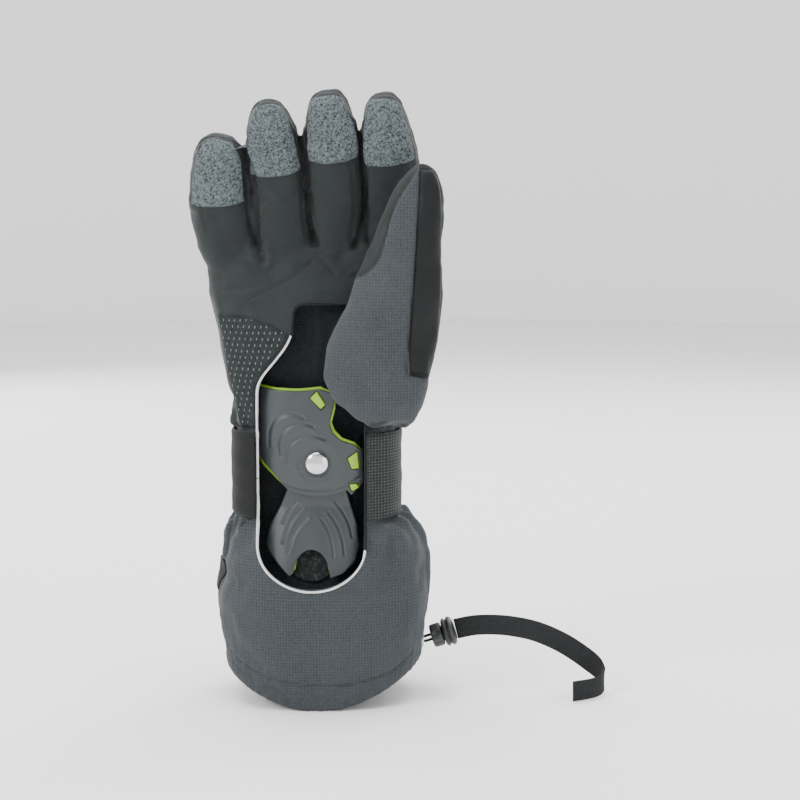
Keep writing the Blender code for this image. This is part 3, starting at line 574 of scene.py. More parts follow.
def rgb(*c):
    return tuple(linear(v / 255) for v in c)


def shade(color, share):
    return tuple(c * share for c in color)


class Look:
    """A node material in the making."""

    def __init__(self, name, roughness=0.8, metallic=0.0, **sockets):
        self.made = bpy.data.materials.new(name)
        self.made.use_nodes = True
        self.tree = self.made.node_tree
        self.shader = self.tree.nodes["Principled BSDF"]
        self.shader.inputs["Roughness"].default_value = roughness
        self.shader.inputs["Metallic"].default_value = metallic
        self.shader.inputs["Specular IOR Level"].default_value = 0.5 if metallic or roughness < 0.55 else 0.2
        for key, value in sockets.items():
            self.shader.inputs[key.replace("_", " ")].default_value = value
        self.coords = self.node("TexCoord").outputs["Object"]

    def node(self, kind, **settings):
        made = self.tree.nodes.new("ShaderNode" + kind)
        for key, value in settings.items():
            setattr(made, key, value)
        return made

    def link(self, a, b):
        self.tree.links.new(a, b)

    def space(self, scale=(1, 1, 1)):
        made = self.node("Mapping")
        made.inputs["Scale"].default_value = scale
        self.link(self.coords, made.inputs["Vector"])
        return made.outputs[0]

    def noise(self, scale, detail=2.0, space=None, rough=0.5):
        made = self.node("TexNoise")
        made.inputs["Scale"].default_value = scale
        made.inputs["Detail"].default_value = detail
        made.inputs["Roughness"].default_value = rough
        self.link(space or self.coords, made.inputs["Vector"])
        return made.outputs["Fac"]

    def wave(self, scale, space, direction):
        made = self.node("TexWave", bands_direction=direction)
        made.inputs["Scale"].default_value = scale
        self.link(space, made.inputs["Vector"])
        return made.outputs["Fac"]

    def voronoi(self, scale):
        made = self.node("TexVoronoi")
        made.inputs["Scale"].default_value = scale
        self.link(self.coords, made.inputs["Vector"])
        return made.outputs["Distance"]

    def math(self, operation, a, b=None, clamp=False):
        made = self.node("Math", operation=operation, use_clamp=clamp)
        for socket, value in zip(made.inputs, (a, b)):
            if value is None:
                continue
            if isinstance(value, (int, float)):
                socket.default_value = value
            else:
                self.link(value, socket)
        return made.outputs[0]

    def weigh(self, a, share_a, b, share_b):
        """The sum of two values, each times its share."""
        return self.math("ADD", self.math("MULTIPLY", a, share_a), self.math("MULTIPLY", b, share_b))

    def choose(self, factor, a, b):
        """A mix of two plain values."""
        made = self.node("Mix", data_type="FLOAT")
        for socket, value in zip((0, 2, 3), (factor, a, b)):
            self.link(value, made.inputs[socket])
        return made.outputs[0]

    def ramp(self, value, low, high, a=0.0, b=1.0):
        made = self.node("MapRange")
        made.inputs["From Min"].default_value = low
        made.inputs["From Max"].default_value = high
        made.inputs["To Min"].default_value = a
        made.inputs["To Max"].default_value = b
        self.link(value, made.inputs["Value"])
        return made.outputs[0]

    def mix(self, factor, a, b):
        made = self.node("Mix", data_type="RGBA")
        for socket, value in zip((made.inputs[0], made.inputs[6], made.inputs[7]), (factor, a, b)):
            if isinstance(value, tuple):
                socket.default_value = (*value, 1)
            elif isinstance(value, (int, float)):
                socket.default_value = value
            else:
                self.link(value, socket)
        return made.outputs[2]

    def attribute(self, name):
        return self.node("Attribute", attribute_name=name).outputs["Fac"]

    def color(self, value):
        if isinstance(value, tuple):
            self.shader.inputs["Base Color"].default_value = (*value, 1)
        else:
            self.link(value, self.shader.inputs["Base Color"])

    def rough(self, value):
        self.link(value, self.shader.inputs["Roughness"])

    def bump(self, height, strength=0.5, distance=0.0004):
        made = self.node("Bump")
        made.inputs["Strength"].default_value = strength
        made.inputs["Distance"].default_value = distance
        self.link(height, made.inputs["Height"])
        self.link(made.outputs[0], self.shader.inputs["Normal"])


def weave_height(look, period=1.1):
    """Ribs across and along, in relief; period is in mm."""
    k = 100 * math.pi / period  # a wave texture repeats every pi / 10 units at scale 1
    space = look.space()
    parts = look.node("SeparateXYZ")
    look.link(look.node("TexCoord").outputs["Normal"], parts.inputs[0])
    sideways = look.ramp(look.math("ABSOLUTE", parts.outputs[0]), 0.66, 0.74)
    along = look.choose(sideways, look.wave(k, space, "X"), look.wave(k, space, "Y"))
    return look.math("MULTIPLY", along, look.wave(k, space, "Z"))


def heather(look, grain=1500.0):
    """Two yarns mixed in short flecks, with a slow drift: the share of the lighter yarn, and the mix itself."""
    fleck = look.noise(grain, 3.0, look.space((1.0, 1.0, 0.35)), 0.7)
    cross = look.noise(grain * 0.8, 2.0, look.space((0.4, 1.0, 1.0)), 0.6)
    drift = look.noise(22.0, 3.0)
    mixed = look.weigh(fleck, 0.6, cross, 0.4)
    mixed = look.math("ADD", mixed, look.math("MULTIPLY", look.math("SUBTRACT", drift, 0.5), 0.25))
    return look.ramp(mixed, 0.28, 0.72), mixed


def fabric(name, dark, light, grain=1500.0, period=1.1, strength=0.35):
    look = Look(name, 0.9, Sheen_Weight=0.08, Sheen_Roughness=0.6)
    factor, mixed = heather(look, grain)
    look.color(look.mix(factor, dark, light))
    height = weave_height(look, period)
    look.bump(look.math("ADD", look.math("MULTIPLY", height, 2.0), mixed), strength, 0.0003)
    look.rough(look.ramp(mixed, 0.3, 0.7, 0.82, 0.97))
    return look.made


def skin_look(name, dark, light, leather, gusset):
    """Heathered cloth, synthetic leather and its darker gussets, told apart by the mesh's own distances."""
    look = Look(name, 0.8, Sheen_Weight=0.06, Sheen_Roughness=0.6)
    factor, mixed = heather(look)
    cloth = look.mix(factor, dark, light)
    grain = look.noise(420.0, 4.0, None, 0.65)
    drift = look.noise(26.0, 2.0)
    skin = look.mix(
        look.ramp(look.weigh(grain, 0.5, drift, 0.5), 0.35, 0.65), shade(leather, 0.88), shade(leather, 1.12)
    )
    inside = look.ramp(look.attribute("leather"), -0.35, 0.35)
    grid = weave_height(look, 1.7)
    cloth = look.mix(look.math("MULTIPLY", grid, 0.28), cloth, shade(light, 1.9))
    base = look.mix(inside, cloth, skin)
    dark_side = look.ramp(look.attribute("gusset"), -0.35, 0.35)
    base = look.mix(dark_side, base,
                    look.mix(grain, shade(gusset, 0.85), shade(gusset, 1.15)))
    # Painted shade: the groove attribute darkens the skin towards a near-black cloth colour inside the seam grooves
    # and along the pressed panel borders.
    groove = look.ramp(look.attribute("groove"), 0.0, 1.0)
    base = look.mix(look.math("MULTIPLY", groove, 0.55), base, shade(dark, 0.35))
    look.color(base)
    cloth_relief = look.math("ADD", look.math("MULTIPLY", grid, 1.6), mixed)
    leather_relief = look.math("MULTIPLY", look.voronoi(900.0), 0.8)
    look.bump(look.choose(inside, cloth_relief, leather_relief), 0.3, 0.0003)
    look.rough(look.ramp(inside, 0, 1, 0.92, 0.62))
    return look.made


def rubber(name, base, rough=0.55, grain=1400.0, strength=0.12):
    look = Look(name, rough)
    speck = look.noise(grain, 2.0)
    drift = look.noise(60.0, 3.0)
    look.color(look.mix(look.ramp(drift, 0.3, 0.75), shade(base, 0.92),
                        shade(base, 1.1)))
    look.rough(look.ramp(drift, 0.3, 0.7, rough - 0.08, rough + 0.08))
    look.bump(speck, strength, 0.0002)
    return look.made


def speckled(name, dark, light, scale=1500.0, rough=0.75, low=0.40, high=0.62, strength=0.6):
    """Gritty synthetic: light ground with dark grains."""
    look = Look(name, rough)
    grain = look.noise(scale, 1.5, None, 0.6)
    coarse = look.noise(scale * 0.45, 1.0)
    both = look.weigh(grain, 0.6, coarse, 0.4)
    look.color(look.mix(look.ramp(both, low, high), dark, light))
    look.bump(both, strength, 0.0004)
    return look.made


def webbing_look(name, dark, light, period=1.3, rough=0.85, strength=0.5):
    look = Look(name, rough, Sheen_Weight=0.05)
    height = weave_height(look, period)
    fleck = look.noise(1100.0, 2.0)
    tone = look.weigh(height, 0.55, fleck, 0.6)
    look.color(look.mix(look.ramp(tone, 0.2, 0.85), dark, light))
    look.bump(height, strength, 0.0004)
    return look.made


CLOTH_DARK, CLOTH_LIGHT = rgb(35, 39, 42), rgb(63, 67, 70)
LEATHER = rgb(28, 33, 33)
GUSSET = rgb(17, 19, 20)
HEATHER = fabric("heather_fabric", CLOTH_DARK, CLOTH_LIGHT)
SKIN = skin_look("glove_skin", CLOTH_DARK, CLOTH_LIGHT, LEATHER, GUSSET)
GRIP = speckled("fingertip_grip", rgb(26, 31, 34), rgb(98, 107, 109), 1400.0, low=0.36, high=0.6)
PALM_GRIP = speckled("palm_grip_leather", rgb(22, 27, 27), rgb(40, 46, 46), 1100.0, low=0.35, high=0.65)
FLEECE = fabric("black_lining", rgb(7, 11, 15), rgb(25, 31, 37), 700.0, 1.6, 0.6)
PLATE = rubber("plate_rubber", rgb(45, 50, 52), 0.36)
LIME = rubber("lime_plastic", rgb(132, 172, 34), 0.4, strength=0.06)
PAD = speckled("plate_pad", rgb(14, 17, 17), rgb(58, 64, 64), 900.0, low=0.5, high=0.72)
WEB = webbing_look("strap_webbing", rgb(15, 16, 16), rgb(34, 36, 35), 0.9, strength=0.3)
ELASTIC = webbing_look("strap_elastic_weave", rgb(20, 21, 22), rgb(72, 75, 74), 1.7, strength=0.8)
LEASH = webbing_look("leash_weave", rgb(22, 23, 24), rgb(44, 46, 47), 0.9, strength=0.35)
TAB = rubber("tab_rubber", rgb(56, 60, 61), 0.5)
LABEL = webbing_look("woven_label", rgb(120, 122, 122), rgb(180, 181, 180), 0.6, strength=0.2)
DARK_LABEL = webbing_look("woven_label_dark", rgb(18, 19, 20), rgb(38, 39, 41), 0.7, strength=0.3)
PRINT = rubber("reflective_print", rgb(140, 142, 144), 0.42, 2600.0, 0.25)
TRIM = fabric("window_edge", rgb(196, 197, 196), rgb(236, 236, 234), 1500.0, 0.8, 0.2)
BLACK_TRIM = fabric("window_edge_black", rgb(9, 10, 12), rgb(22, 24, 27), 1500.0, 0.8, 0.2)
CLIP = rubber("clip_plastic", rgb(34, 35, 37), 0.45)
CORD = webbing_look("drawcord_weave", rgb(20, 21, 22), rgb(50, 52, 54), 0.7, strength=0.6)
THREAD = fabric("thread", rgb(24, 26, 28), rgb(56, 58, 60), 1800.0, 0.5, 0.4)
PALE_THREAD = fabric("thread_pale", rgb(84, 87, 88), rgb(122, 124, 124), 1800.0, 0.5, 0.4)
NYLON = rubber("washer_nylon", rgb(190, 190, 184), 0.4)
RUBBER = rubber("badge_rubber", rgb(38, 40, 42), 0.5)

steel = Look("rivet_steel", 0.13, 1.0)
brushed = steel.noise(180.0, 3.0, steel.space((1, 1, 8)))
steel.color(steel.mix(brushed, rgb(196, 197, 198), rgb(228, 229, 230)))
steel.rough(steel.ramp(brushed, 0.3, 0.7, 0.08, 0.22))
STEEL = steel.made


# Camera -------------------------------------------------------------------------------------------

camera = bpy.data.objects.new("camera", bpy.data.cameras.new("camera"))
bpy.context.scene.collection.objects.link(camera)
camera.data.lens = 85
camera.data.sensor_width = 36
ELEVATION = math.radians(7.5)
DISTANCE = 1.085
target = Vector((0.047, 0.0, 0.174))
camera.location = target + Vector((0, -math.cos(ELEVATION), math.sin(ELEVATION))) * DISTANCE
camera.rotation_euler = (target - camera.location).to_track_quat("-Z", "Y").to_euler()
bpy.context.scene.camera = camera


# Leash and cord lock ------------------------------------------------------------------------------

EYELET_Z, CORD_INSET = 14.0, 4.4
EXIT_X, LOCK_BEND, LOCK_START, STRAND = 59.8, 1.5, 4.4, 1.2  # eyelet, its bend, the lock, half between strands
LOCK_Z = EYELET_Z + HEM_RISE * (1 - EYELET_Z / HEM_FADE)
TILT = math.radians(18)
LOCK_AXIS = np.array((math.cos(TILT), 0.0, math.sin(TILT)))
LOCK_UP = np.array((-math.sin(TILT), 0.0, math.cos(TILT)))


def lock_point(along, up=0.0):
    return np.array((EXIT_X + LOCK_BEND, 0.0, LOCK_Z)) + LOCK_AXIS * along + LOCK_UP * up


def ride_piece(obj, body_name, slot, *replaced):
    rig.ride(obj, body_name)
    if replaced:
        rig.replaces(obj, *replaced)
    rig.slot(obj, slot)
    return obj


LEASH_ROUTE = [
    lock_point(LOCK_START + 15.0), (90.0, -2.0, 40.2), (101.0, -3.5, 41.0), (113.0, -3.5, 40.0),
    (127.0, -2.0, 36.5), (141.0, 0.0, 30.0), (152.5, 1.5, 22.5), (161.5, 0.5, 15.5),
    (165.8, -4.5, 10.5), (165.0, -11.0, 7.8), (159.0, -16.5, 6.6), (147.0, -22.5, 6.3),
]


def leash():
    """Flat webbing on its edge, woven, with a thicker selvedge and a cut end."""
    p = np.array(LEASH_ROUTE, float)
    pad = np.concatenate([p[:1], p, p[-1:]])
    rows = []
    for s in np.linspace(0, len(p) - 1, 181):
        i = min(int(s), len(p) - 2)
        t = s - i
        rows.append(curve_at(*pad[i : i + 4], t))
    path = resample(rows, 0.7)
    t = np.gradient(path, axis=0)
    t /= np.linalg.norm(t, axis=1)[:, None]
    across = np.stack([t[:, 1], -t[:, 0], np.zeros(len(t))], 1)
    across /= np.linalg.norm(across, axis=1)[:, None]
    up = np.cross(across, t)
    v = np.linspace(-6, 6, 25)
    rib = 0.12 * np.cos(v * math.pi / 0.75) * (np.abs(v) < 5.2)
    half = (0.5 + rib + 0.12 * (np.abs(v) > 5.2))[None, :, None]
    half = half * (1 - 0.75 * smooth((np.abs(v) - 5.6) / 0.4))[None, :, None]
    centre = path[:, None] + up[:, None] * v[None, :, None]
    obj = slab("leash_ribbon", centre + across[:, None] * half, centre - across[:, None] * half, LEASH)
    ride_piece(obj, "lock_cap", "strap_webbing", "leash_webbing")
    points = (path + (0, SHIFT, 0)) * MM
    length = float(np.linalg.norm(np.diff(points, axis=0), axis=1).sum())
    return obj, points, length


def lock_pieces():
    """The barrel is a rounded block with two side recesses; the cap is a thick mushroom with a groove."""
    start = lock_point(LOCK_START)

    def block(a):
        return 1 + 0.06 * np.cos(4 * a)

    barrel = lathe(
        "lock_barrel",
        rounded([(3.0, 0.6), (4.4, 0.0), (6.3, 0.4), (6.6, 2.0), (6.6, 5.6), (6.2, 6.7), (4.8, 6.9),
                 (3.2, 6.8)], 0.8),
        start, LOCK_AXIS, CLIP, 56, block, True,
    )
    points = read(barrel)
    rel = points - start
    along = rel @ LOCK_AXIS
    up = rel @ LOCK_UP
    front = np.abs(rel[:, 1]) > 3.5
    for height in (2.7, -2.7):
        dent = bump(np.hypot((along - 3.6) / 1.9, (up - height) / 1.05), 1.0) * front
        points[:, 1] -= np.sign(rel[:, 1]) * 1.5 * dent
    write(barrel, points)
    ride_piece(barrel, "cord_lock", "clip_plastic", "cord_lock_barrel")
    cap = lathe(
        "lock_button",
        rounded([(0.0, 14.6), (5.0, 14.5), (7.9, 13.4), (8.7, 12.0), (8.2, 10.9), (7.3, 10.6), (7.2, 10.1),
                 (8.0, 9.8), (8.5, 9.0), (7.6, 7.6), (5.0, 7.2), (4.4, 7.2), (4.4, 4.6), (3.3, 4.6),
                 (3.3, 12.0), (0.0, 12.0)], 0.7),
        start, LOCK_AXIS, CLIP, 64,
    )
    ride_piece(cap, "lock_cap", "clip_plastic", "cord_lock_cap")
    return barrel, cap


def drawcord():
    """The hem's cord: out of the eyelet, through the lock and back, with the rest inside the hem."""
    reach = LOCK_START + 1.6
    parts = []
    for side in (1, -1):
        inner = [
            (EXIT_X - 3.6, -4.6 * side, LOCK_Z + 0.5 * side), (EXIT_X - 2.6, -1.6 * side, LOCK_Z + 1.1 * side),
            (EXIT_X, 0.0, LOCK_Z + STRAND * side), tuple(lock_point(0.4, (STRAND + 0.15) * side)),
            tuple(lock_point(2.6, (STRAND + 0.3) * side)), tuple(lock_point(reach, STRAND * side)),
        ]
        path = spline(inner, 0.45)
        n = len(path)
        twist = 1.75 + 0.12 * np.cos(np.arange(n) * 1.6)
        parts.append(tube("strand", path, twist, twist, CORD, sides=12))
    bend = [lock_point(reach + STRAND * math.cos(a), STRAND * math.sin(a)) for a in np.linspace(math.pi / 2,
        -math.pi / 2, 9)]
    parts.append(tube("bend", bend, 1.75, 1.75, CORD, sides=12))
    cx, cy, half, depth = section(TRUNK, EYELET_Z)
    run = []
    for a in np.linspace(math.radians(14), math.radians(346), 120):
        x, y = superellipse(half - CORD_INSET, depth - CORD_INSET, a, POWER)
        x += cx
        run.append((x, y + cy, float(hem_lift(x, EYELET_Z))))
    parts.append(tube("run", run, 1.8, 1.8, CORD, sides=8))
    obj = join("hem_cord", parts, CORD)
    ride_piece(obj, "forearm", "strap_webbing", "hem_drawcord")


leash_piece, leash_path, leash_length = leash()
barrel_piece, cap_piece = lock_pieces()
drawcord()
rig.cord(
    leash_piece, exit=leash_path[0], length=leash_length, diameter=0.012, far_end="bare",
    stiffness="medium", lay="loose", path=leash_path, with_pieces=[barrel_piece, cap_piece],
)


# Glove skin ---------------------------------------------------------------------------------------


def ring_at(rows, z, power, count=96):
    cx, cy, a, b = section(rows, z)
    t = np.linspace(0, 2 * math.pi, count, endpoint=False)
    x, y = superellipse(a, b, t, power)
    return np.stack([cx + x, cy + y, np.full(count, float(z))], 1)


def loft(name, rows, power, heights, lift=False, count=96):
    rings = np.array([ring_at(rows, z, power, count) for z in heights])
    if lift:
        rings[..., 2] = hem_lift(rings[..., 0], rings[..., 2])
    return rings_mesh(name, rings)


def finger_centre(spec, s):
    base_x, belly_x, tip_x, tip_z, curl = spec
    x = (1 - s) ** 2 * base_x + 2 * s * (1 - s) * (2 * belly_x - (base_x + tip_x) / 2) + s**2 * tip_x
    y = FINGER_BASE_Y - curl * np.sign(s) * np.abs(s) ** 1.8
    return np.stack(np.broadcast_arrays(x, y, FINGER_BASE + (tip_z - FINGER_BASE) * s), -1)


def finger_frame(spec, s):
    middle = finger_centre(spec, s)
    along = finger_centre(spec, min(s + 0.02, 1.0)) - finger_centre(spec, s - 0.02)
    along = along / np.linalg.norm(along) if s > 0.05 else np.array((0, 0, 1.0))
    across = np.array((1.0, 0, 0)) - along * along[0]
    across /= np.linalg.norm(across)
    a, b = (np.interp(s, FINGER_SHAPE[:, 0], FINGER_SHAPE[:, k]) for k in (1, 2))
    return middle, across, np.cross(along, across), a, b


def finger_ring(spec, s):
    middle, across, back, a, b = finger_frame(spec, s)
    x, y = superellipse(a, b, np.linspace(0, 2 * math.pi, 56, endpoint=False), FINGER_POWER)
    return middle + across * x[:, None] + back * y[:, None]


def finger_loft(name, spec):
    shares = [-0.16, -0.08, 0.0, 0.1, 0.2, 0.3, 0.4, 0.5, 0.57, 0.64, 0.7, 0.77, 0.84, 0.89, 0.93, 0.96, 0.98,
              1.0]
    return rings_mesh(name, [finger_ring(spec, s) for s in shares])


def window_outline():
    """The window's sill from left to right, its head, the head's left corner, and the slant at upper left."""
    left, right, low, arc_top = WINDOW
    middle, a, b = (left + right) / 2, (right - left) / 2, arc_top - low
    sill = [(middle + a * math.cos(t), arc_top + b * math.sin(t)) for t in np.linspace(math.pi, 2 * math.pi,
        33)]
    head = [(27.3, 230.6)]
    corner = [(-9.5 + 3.4 * math.cos(t), 227.2 + 3.4 * math.sin(t)) for t in np.linspace(math.pi / 2, math.pi,
        7)]
    slant = spline([(-12.9, 222), (-13.3, 215.0), (-16.5, 207.5), (-22.0, 200.0), (-29.3, 191.0),
                    (-32.6, 184.5), (-33.6, 177)], 2.0)
    return sill, head, corner, [tuple(p) for p in slant]


def prism(name, outline, front, back):
    outline = np.asarray(outline, float)
    rings = [np.stack([outline[:, 0], np.full(len(outline), y), outline[:, 1]], 1) for y in (front, back)]
    return rings_mesh(name, rings)


# Dents and folds of the cloth: x, z, half width, half height, lean in degrees, depth, side
FOLDS = [
    (31.0, 96.0, 3.4, 9.0, 8, 2.6, -1), (42.0, 90.0, 3.6, 15.0, -3, 2.8, -1),
    (37.0, 107.0, 7.5, 2.6, 22, 2.0, -1),
    (48.5, 96.0, 3.2, 9.0, -14, -1.3, -1), (-41.0, 96.0, 5.5, 8.5, 12, 1.8, -1),
    (-37.5, 112.0, 1.8, 7.5, -24, 1.6, -1),
    (-50.0, 104.0, 2.2, 9.0, 26, 1.0, -1), (52.0, 76.0, 6.0, 4.0, 30, 1.0, -1),
    (30.0, 20.0, 4.0, 8.0, 20, 1.0, -1),
    (-44.0, 62.0, 7.0, 16.0, 5, 0.9, -1), (8.0, 48.0, 16.0, 12.0, 0, -0.8, -1),
    (-20.0, 34.0, 10.0, 5.0, 20, 0.8, -1),
    (-30.0, 250.0, 11.0, 2.0, -24, 1.0, -1), (-44.0, 239.0, 12.0, 1.6, 4, 0.8, -1),
    (-50.0, 175.0, 4.0, 5.0, 0, 1.0, -1),
    (20.0, 104.0, 5.0, 7.0, 20, 1.6, 1), (2.0, 101.0, 6.0, 9.0, -8, 1.8, 1),
    (-20.0, 98.0, 4.0, 9.0, -16, 1.4, 1),
    (-36.0, 103.0, 5.0, 6.0, 14, 1.6, 1), (38.0, 92.0, 4.0, 10.0, 12, 1.2, 1),
    (-16.0, 170.0, 3.0, 8.0, 28, 2.0, 1),
    (8.0, 168.0, 6.0, 5.0, 0, 1.8, 1), (-34.0, 174.0, 3.2, 9.0, -12, 1.6, 1),
    (30.0, 172.0, 3.6, 7.0, -10, 1.4, 1),
    (46.0, 168.0, 5.0, 3.0, 20, 1.6, 1), (-6.0, 196.0, 9.0, 2.2, -20, 0.8, 1),
    (12.0, 252.0, 12.0, 2.4, -24, 0.8, 1),
]
STRAP_LOW, STRAP_HIGH = 109.0, 158.0


def wrinkle(points):
    """Offset along the normal: gathers at the strap and the hem, soft folds, and the cloth's own unevenness."""
    x, y, z = points.T
    angle = np.arctan2(y / 31.0, x / 45.0)
    ring = np.stack([np.cos(angle) * 46, np.sin(angle) * 33, z * 0.16], 1)
    gather = noise(ring, 5.2) + 0.5 * noise(ring + 90, 2.9)
    above, below = np.clip(z - STRAP_HIGH, 0, 99), np.clip(STRAP_LOW - z, 0, 99)
    near = np.where(z > STRAP_HIGH, np.exp(-above / 11.0) * smooth(above / 3),
                    np.exp(-below / 12.0) * smooth(below / 3))
    near = near * ((z > STRAP_HIGH) | (z < STRAP_LOW)) * (z < 215)
    out = 2.0 * near * gather
    rise = z - hem_lift(x, np.zeros_like(z))
    hem = np.exp(-np.clip(rise, 0, 60) / 9.0)
    out += 0.55 * hem * np.cos(angle * 46 + 2.0 * noise(ring, 14.0)) * (z < 60)
    body = smooth((z - 162) / 20) + smooth((104 - z) / 15)
    out += body * (0.9 * noise(points, 26.0) + 0.5 * noise(points * (1, 1, 0.7) + 300, 11.0))
    out += 0.35 * smooth((z - 236) / 20) * noise(points * (1, 1, 1.5), 7.0)
    for fx, fz, w, h, lean, depth, side in FOLDS:
        c, s = math.cos(math.radians(lean)), math.sin(math.radians(lean))
        u, v = (x - fx) * c + (z - fz) * s, -(x - fx) * s + (z - fz) * c
        out -= 1.25 * depth * bump(u, w) * bump(v, h) * (y * side > 2)
    return np.maximum(out, -2.0)


DRAPE_FRAMES = 20


def drape(body):
    """A cloth simulation of a coarse copy of the glove, whose folds are carried over to the fine mesh.

    It has light pressure and a little extra cloth; the strap's band, the hem, the window's surround and the
    fingers are held."""
    coarse = twin(body, "coarse")
    apply(coarse, "REMESH", mode="VOXEL", voxel_size=0.005)
    rest = read(coarse)
    x, y, z = rest.T
    strap_middle = (STRAP_LOW + STRAP_HIGH) / 2
    hold = (np.abs(z - strap_middle) < 25) | (z < 14 + hem_lift(x, np.zeros_like(z))) | (z > 240)
    inside_window = (y < 0) & (x > WINDOW[0] - 4) & (x < WINDOW[1] + 4) & (z > 66) & (z < 236)
    group = coarse.vertex_groups.new(name="hold")
    group.add([int(i) for i in np.nonzero(hold | inside_window)[0]], 1.0, "REPLACE")
    modifier = coarse.modifiers.new("cloth", "CLOTH")
    cloth = modifier.settings
    cloth.quality = 5
    cloth.mass = 0.25
    cloth.tension_stiffness = cloth.compression_stiffness = 12
    cloth.bending_stiffness = 0.6
    cloth.use_pressure = True
    cloth.uniform_pressure_force = 1.2
    cloth.shrink_min = -0.06
    cloth.vertex_group_mass = "hold"
    cloth.effector_weights.gravity = 0
    scene = bpy.context.scene
    scene.frame_start, scene.frame_end = 1, DRAPE_FRAMES
    modifier.point_cache.frame_start, modifier.point_cache.frame_end = 1, DRAPE_FRAMES
    for number in range(1, DRAPE_FRAMES + 1):
        scene.frame_set(number)
    graph = bpy.context.evaluated_depsgraph_get()
    moved = bpy.data.meshes.new_from_object(coarse.evaluated_get(graph))
    co = np.empty(len(moved.vertices) * 3, np.float32)
    moved.vertices.foreach_get("co", co)
    shift = co.reshape(-1, 3) / MM - (0, SHIFT, 0) - rest
    size = np.linalg.norm(shift, axis=1)[:, None] + 1e-9
    shift *= np.minimum(size, 4.0) / size
    bpy.data.objects.remove(coarse)
    scene.frame_set(1)
    tree = kd_of(rest)
    fine = read(body)
    out = np.zeros_like(fine)
    for i, p in enumerate(fine):
        found = tree.find_n(p, 6)
        w = np.array([1 / (f[2] ** 2 + 2.0) for f in found])
        out[i] = (shift[[f[1] for f in found]] * w[:, None]).sum(0) / w.sum()
    normal = normals(body)
    inward = np.sum(out * normal, 1)
    out += normal * np.maximum(0, -0.7 - inward)[:, None]
    calm = np.where(fine[:, 1] > -10, 1.0, 0.6)
    write(body, fine + out * calm[:, None])


def part_of(points):
    """For each point: its part (-1 for the trunk, 0 to 3 for a finger, 4 for the thumb), its depth share
    (front -1 to back 1), its share across (-1 to 1), and the half depth there in mm."""
    x, y, z = points.T
    part = np.full(len(points), -1)
    cx, cy, a, b = section(TRUNK, z)
    deep, wide, depth_mm = (y - cy) / b, (x - cx) / a, b
    for number, spec in enumerate(FINGERS.values()):
        length = spec[3] - FINGER_BASE
        s = np.clip((z - FINGER_BASE) / length, 0, 1)
        centre = finger_centre(spec, s)
        fa, fb = (np.interp(s, FINGER_SHAPE[:, 0], FINGER_SHAPE[:, k]) for k in (1, 2))
        near = (np.abs(x - centre[:, 0]) < 16.2) & (z > 262)
        closer = near & ((part < 0) | (np.abs(x - centre[:, 0]) / fa < np.abs(wide)))
        part[closer] = number
        deep = np.where(closer, (y - centre[:, 1]) / fb, deep)
        wide = np.where(closer, (x - centre[:, 0]) / fa, wide)
        depth_mm = np.where(closer, fb, depth_mm)
    tx, ty, ta, tb = section(THUMB, z)
    inside = (np.abs((x - tx) / (ta + 2)) ** 2.3 + np.abs((y - ty) / (tb + 2)) ** 2.3 < 1.1) & (z > 164)
    inside &= (y < ty + tb * 0.75) & (z < 311)
    part[inside] = 4
    return part, deep, wide, depth_mm


def zones(obj):
    """Distances, in mm and positive inside, to the leather panels and their dark gussets."""
    points = read(obj)
    x, y, z = points.T
    part, deep, wide, depth_mm = part_of(points)
    leather = np.full(len(points), -9.0)
    gusset = np.full(len(points), -9.0)
    trunk = part == -1
    front = (-0.18 - deep) * depth_mm
    leather = np.where(trunk & (z > 158), np.minimum(front, z - 160), leather)
    fingers = (part >= 0) & (part < 4)
    leather = np.where(fingers, (-0.1 - deep) * depth_mm, leather)
    side = (np.abs(wide) - 0.74) * 14.5
    gusset = np.where(fingers, np.minimum(side, (0.45 - np.abs(deep)) * 14 + 3), gusset)
    gusset = np.where(fingers & (deep > 0.3), -9.0, gusset)
    thumb = part == 4
    edge = np.interp(z, [163, 192, 209, 250, 298, 309], [58.0, 52.5, 51.6, 54.6, 57.2, 57.5])
    gusset = np.where(thumb, np.minimum(x - edge, z - 193 + (x - 56) * 0.2), gusset)
    seam = np.interp(z, [244, 250, 258, 270, 282, 292, 301, 309],
                     [18.0, 29.0, 36.0, 39.5, 42.5, 47.5, 54.0, 58.0])
    leather = np.where(thumb, np.minimum(seam - x, z - 246), leather)
    leather = np.where(thumb & (y > -40) & (x > tx_right(z) - 6), np.maximum(leather, 1.0), leather)
    gusset = np.where(fingers, np.minimum(gusset, (z - 264) * 0.3), gusset)
    # The panel borders are pressed in and join the groove weights, which paint shade along them.
    border = bump(leather, 0.8) * (part != 4)
    write(obj, points - normals(obj) * (0.5 * border)[:, None])
    groove = np.empty(len(points), np.float32)
    obj.data.attributes["groove"].data.foreach_get("value", groove)
    obj.data.attributes["groove"].data.foreach_set("value", np.maximum(groove, border).astype(np.float32))
    for key, value in (("leather", leather), ("gusset", gusset)):
        attribute = obj.data.attributes.new(key, "FLOAT", "POINT")
        attribute.data.foreach_set("value", value.astype(np.float32))


def tx_right(z):
    tx, _, ta, _ = section(THUMB, z)
    return tx + ta


